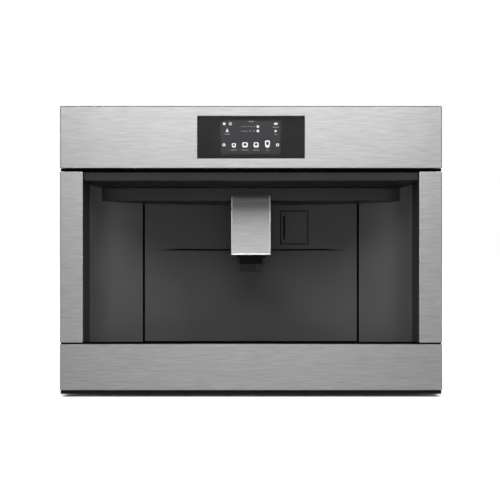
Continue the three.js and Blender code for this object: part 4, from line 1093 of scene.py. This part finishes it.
def top_details():
    bm = bmesh.new()
    for depth in (75, 125, 175):
        pressed_bead(bm, (-225, depth - 5), (225, depth + 5), on_top)
    for x in (145, 185, 225):
        pressed_bead(bm, (x - 5, 225), (x + 5, 410), on_top)
    screw_heads(bm, (-255, -130, 0, 130, 255), (34,), on_top)
    screw_heads(bm, (-130, 130, 255), (430,), on_top)
    add_piece("top_cover_details", bm, "top_cover", material="zinc_top_painted_shade", replaces=False)

    marks = bmesh.new()
    start, half = 18.5, 0.5
    for i in range(9):
        turn = radians(-60 + 15 * i)
        sine, cosine = sin(turn), cos(turn)
        end = 24.0 if i % 4 == 0 else 21.5
        outline = []
        for reach, aside in ((start, -half), (end, -half), (end, half), (start, half)):
            right, back = reach * sine + aside * cosine, aside * sine - reach * cosine
            outline.append((KNOB[0] + right, KNOB[1] + back))
        prism(marks, outline, -0.1, 0.25, on_top)
    add_piece("grind_marks", marks, "top_cover", material="dark_trim", replaces=False, slot="dark_trim")


def inner_details():
    """Swages and screws of the bulkhead, and the screws of the niche's rear frame."""
    on_bulkhead = on_upright(BULKHEAD_FACE, -1)
    bm = bmesh.new()
    for x in (110, 160, 210):
        for side, _ in SIDES:
            pressed_bead(bm, (side * x - 5, 90), (side * x + 5, 400), on_bulkhead)
    screw_heads(bm, (-255, 255), (75, 190, 305, 425), on_bulkhead)
    screw_heads(bm, (-75, 75), (100, 270, 425), on_bulkhead)
    add_piece("bulkhead_details", bm, "front_bulkhead", replaces=False)
    bm = bmesh.new()
    screw_heads(bm, (-200, 200), (73, 140, 205, 270, 329), on_upright(REAR_FRAME_FACE))
    add_piece("rear_frame_screws", bm, "door_rear_frame", replaces=False)


def brewing_bands(bm, spans, inner, outer):
    """A level ring with softened edges round the brewing axis for each span of height."""
    soft = 0.3
    for low, high in spans:
        edge = ((outer - soft, low), (outer, low + soft), (outer, high - soft), (outer - soft, high))
        rings = []
        for radius, z in ((inner, low), *edge, (inner, high)):
            rings.append([at(x, depth, z) for x, depth in circle(*BREW_AXIS, radius, 64)])
        loft(bm, rings, closed=True)


def brewing_details():
    """Bands round the brewing chamber, seals on the piston, and the tray's finger grip."""
    bm = bmesh.new()
    brewing_bands(bm, ((101.0, 104.0), (107.0, 108.5), (110.5, 112.0), (148.0, 153.0)), 30.2, 31.7)
    add_piece("chamber_bands", bm, "brew_chamber", replaces=False)
    bm = bmesh.new()
    brewing_bands(bm, [(low, low + 2.4) for low in (198.6, 203.2)], 23.6, 24.8)
    add_piece("piston_seals", bm, "upper_piston", material="rubber", replaces=False, slot="rubber")
    levels = ((0.0, 20.9), (0.0, 19.8), (0.6, 19.1), (3.4, 19.1), (4.4, 20.1))
    lofted("tray_grip", "drip_tray", nested((-62.0, 26.0), (62.0, 40.0), 6.5, levels), replaces=False)


def tank_details():
    """Filling marks and upright ribs on the water tank's front wall."""
    bm = bmesh.new()
    draft = 2.0 / 200.0
    left = -250.0
    on_tank = lambda x, z, level: at(x, TANK_TOP[0] + draft * (TANK_TOP[1] - z) - level, z)
    for i, z in enumerate(range(270, 421, 15)):
        length = 9.0 if i % 5 == 0 else 5.0
        mark = rounded((left, z - 0.5), (left + length, z + 0.5), 0.4, 2)
        prism(bm, mark, -0.2, 0.35, on_tank)
    for x in (-215.0, -200.0):
        pressed_bead(bm, (x - 4, 262), (x + 4, 425), on_tank, height=0.8)
    add_piece("tank_details", bm, "water_tank", replaces=False)


def rear_sheet():
    """The rear panel: a field pressed inwards above the mains inlet, louvres and cut-outs."""
    half, low, high = 266.7, 5.0, 438.0
    field_x, field_z = 253.7, (125.0, 425.0)
    slope, thickness = 2.0, 1.4
    vents = [(300.0 + 14 * i, 305.0 + 14 * i) for i in range(7)]
    inlet, switch = ((185.7, 214.3), (79.7, 100.3)), ((152.7, 167.3), (78.8, 101.2))
    holes = [((-90.0, 90.0), vent) for vent in vents] + [inlet, switch]
    columns = {-half, half, -field_x, field_x, slope - field_x, field_x - slope}
    columns |= set(spread(-240.0, 240.0, 8))
    rows = {low, high, *field_z, field_z[0] + slope, field_z[1] - slope, 40.0, 170.0, 215.0, 260.0}
    for x, z in holes:
        columns |= set(x)
        rows |= set(z)
    columns, rows = sorted(columns), sorted(rows)

    def face(x, z, behind=0.0):
        inside_x = min(1.0, max(0.0, (field_x - abs(x)) / slope))
        inside_z = min(1.0, max(0.0, (z - field_z[0]) / slope), max(0.0, (field_z[1] - z) / slope))
        return at(x, REAR_FACE - (REAR_FACE - REAR_FIELD) * min(inside_x, inside_z) - behind, z)

    def keep(i, j):
        x, z = (columns[i] + columns[i + 1]) / 2, (rows[j] + rows[j + 1]) / 2
        return not any(x0 < x < x1 and z0 < z < z1 for (x0, x1), (z0, z1) in holes)

    bm = bmesh.new()
    grid_shell(bm, columns, rows, face, lambda x, z: face(x, z, thickness), keep)
    add_piece("rear_sheet", bm, "rear_panel", bevel=0.3)

    bm = bmesh.new()
    # section of a hood, by its depth and its height over the vent
    hood = ((437.7, 0.0), (439.5, -1.4), (439.9, -1.0), (439.7, 0.0), (438.9, 4.5), (437.7, 4.5))
    for _, top in vents:
        prism(bm, [(depth, top + up) for depth, up in hood], -91.0, 91.0, along_x)
    on_back = on_upright(REAR_FIELD)
    screw_heads(bm, (-244, 0, 244), (134, 416), on_back)
    screw_heads(bm, (-244, 244), (230, 325), on_back)
    add_piece("rear_details", bm, "rear_panel", replaces=False)


def lid(node, foot, low, high, grip_low, grip_high, grip_height):
    """A lid with a dished top and a raised finger grip, on a face at the height foot."""
    on_foot = lambda x, depth, level: at(x, depth, foot + level)
    rim = ((0.6, 0.0), (0.0, 0.5), (0.0, 1.9), (0.25, 2.35), (0.7, 2.6), (3.0, 2.6), (4.0, 1.9))
    top = 1.9 + grip_height
    grip = ((0.0, 1.6), (0.0, top - 2.0), (-0.8, top - 1.0), (-0.5, top - 0.3), (0.6, top))
    bm = bmesh.new()
    loft(bm, nested(low, high, 5.5, rim, on_foot))
    loft(bm, nested(grip_low, grip_high, 2.4, grip, on_foot))
    add_piece(f"{node}_plate", bm, node)


def lids():
    lid("bean_lid", 442.0, (-100, 218), (54.9, 406), (-50, 223), (5, 230), 4.5)
    lid("ground_coffee_lid", 442.0, (55.6, 218), (100, 272), (66, 222.5), (90, 228.5), 3.5)
    lid("tank_lid", 440.1, (-262.5, 246), (-152.5, 428), (-232, 252), (-183, 261), 6.0)


def grind_dial():
    """The grind setting's knob: a ribbed skirt, a dished top and a pointer ridge."""
    x, depth = KNOB
    ribs = 24
    rings = []
    for radius, rib, level in (
        (15.0, 0.0, 0.35),
        (15.5, 0.3, 0.9),
        (15.5, 0.4, 6.6),
        (15.0, 0.2, 7.6),
        (14.0, 0.0, 8.2),
        (12.0, 0.0, 8.2),
        (11.3, 0.0, 7.5),
    ):
        ring = []
        for i in range(4 * ribs):
            turn = 2 * pi * i / (4 * ribs)
            reach = radius + rib * cos(ribs * turn)
            ring.append(on_top(x + reach * cos(turn), depth + reach * sin(turn), level))
        rings.append(ring)
    bm = bmesh.new()
    loft(bm, rings)
    prism(bm, rounded((x - 1.7, depth - 13.2), (x + 1.7, depth + 13.2), 1.5), 7.0, 10.0, on_top)
    prism(bm, circle(x, depth, 4.0), -13.8, 1.0, on_top)
    add_piece("grind_dial", bm, "grind_knob", bevel=0.3)


side_details()
top_details()
inner_details()
brewing_details()
tank_details()
rear_sheet()
lids()
grind_dial()
steel_front()
niche_wings()
back_panel()
shadow_strips()
plinth_skirt()
door_gap_shadow()
flap()
spout_cover()
nozzle_block()
display()


# ---- studio


def floor():
    half = 8.0
    mesh = bpy.data.meshes.new("studio_floor")
    corners = [(-half, -half, 0), (half, -half, 0), (half, half, 0), (-half, half, 0)]
    mesh.from_pydata(corners, [], [(0, 1, 2, 3)])
    obj = add_object("studio_floor", mesh)
    tree = surface("studio_floor", Roughness=0.9)
    drive(tree, Base_Color=ramp(tree, streaks(tree, 0.8, detail=1.0), grey(0.56), grey(0.58)))
    mesh.materials.append(MATERIALS["studio_floor"])
    obj.visible_glossy = False  # the steel mirrors the studio's light, not the white floor


SKY_SCALE = 6.0  # the brightest that SKY may be
BEHIND = 1.15  # light of the white studio wall behind the machine
# light from in front of the machine, by its direction from straight down, -1, to straight up, 1
LOW_SKY = ((-1.0, 0.0), (-0.3, 0.0), (0.0, 1.15), (0.15, 0.0))
SKY = (*LOW_SKY, (0.3, 0.26), (0.5, 0.13), (0.75, 4.65), (1.0, 2.6))


def studio_world():
    """White behind the machine. In front of it, dim at the horizon and bright overhead."""
    world = bpy.data.worlds.new("studio")
    bpy.context.scene.world = world
    world.use_nodes = True
    tree = world.node_tree
    link = tree.links.new
    background = tree.nodes["Background"]
    background.inputs["Strength"].default_value = SKY_SCALE
    place = add_node(tree, "ShaderNodeTexCoord")
    split = add_node(tree, "ShaderNodeSeparateXYZ")
    link(place.outputs["Generated"], split.inputs[0])
    height = add_node(tree, "ShaderNodeValToRGB")
    link(ramp(tree, split.outputs["Z"], 0.0, 1.0, -1.0, 1.0), height.inputs["Fac"])
    stops = height.color_ramp.elements
    while len(stops) < len(SKY):
        stops.new(0.5)
    for stop, (level, light) in zip(stops, SKY):
        stop.position = (level + 1) / 2
        stop.color = (*grey(light / SKY_SCALE), 1)
    mix = add_node(tree, "ShaderNodeMix", data_type="RGBA")
    mix.inputs["B"].default_value = (*grey(BEHIND / SKY_SCALE), 1)
    link(ramp(tree, split.outputs["Y"], 0.0, 1.0, -0.1, 0.2), mix.inputs["Factor"])
    link(height.outputs["Color"], mix.inputs["A"])
    link(mix.outputs["Result"], background.inputs["Color"])
    # what the camera sees past the floor is the same white on all sides
    backdrop = add_node(tree, "ShaderNodeBackground")
    backdrop.inputs["Color"].default_value = (1, 1, 1, 1)
    rays = add_node(tree, "ShaderNodeLightPath")
    either = add_node(tree, "ShaderNodeMixShader")
    link(rays.outputs["Is Camera Ray"], either.inputs["Fac"])
    link(background.outputs[0], either.inputs[1])
    link(backdrop.outputs[0], either.inputs[2])
    link(either.outputs[0], tree.nodes["World Output"].inputs["Surface"])


def softbox(name, place, target, width, height, watts):
    light = bpy.data.lights.new(name, "AREA")
    light.shape = "RECTANGLE"
    light.size, light.size_y, light.energy = width, height, watts
    obj = add_object(name, light)
    obj.location = place
    obj.rotation_mode = "QUATERNION"
    obj.rotation_quaternion = (Vector(target) - Vector(place)).to_track_quat("-Z", "Y")


def camera():
    """The photograph's view: level, square to the front, from 0.7 m in front of it."""
    distance = 0.7
    eye_height = 0.23025
    beside = -0.00156
    data = bpy.data.cameras.new("camera")
    data.sensor_width = 36.0
    data.lens = 32.34
    data.clip_start = 0.01
    obj = add_object("camera", data)
    obj.location = (beside, FRONT - distance, eye_height)
    obj.rotation_euler = (radians(90), 0, 0)
    bpy.context.scene.camera = obj


camera()
floor()
studio_world()
softbox("softbox_top", (0.0, -1.0, 1.35), (0, -0.2, 0.25), 1.6, 0.7, 13.9)
softbox("softbox_overhead", (0.0, -0.5, 1.3), (0, -0.25, 0.25), 1.6, 0.5, 3.5)
for side, name in SIDES:
    softbox(f"softbox_{name}", (side * 1.3, -0.65, 0.4), (side * -0.2, -0.1, 0.2), 0.25, 0.8, 5.6)
bpy.context.scene.view_settings.view_transform = "Standard"
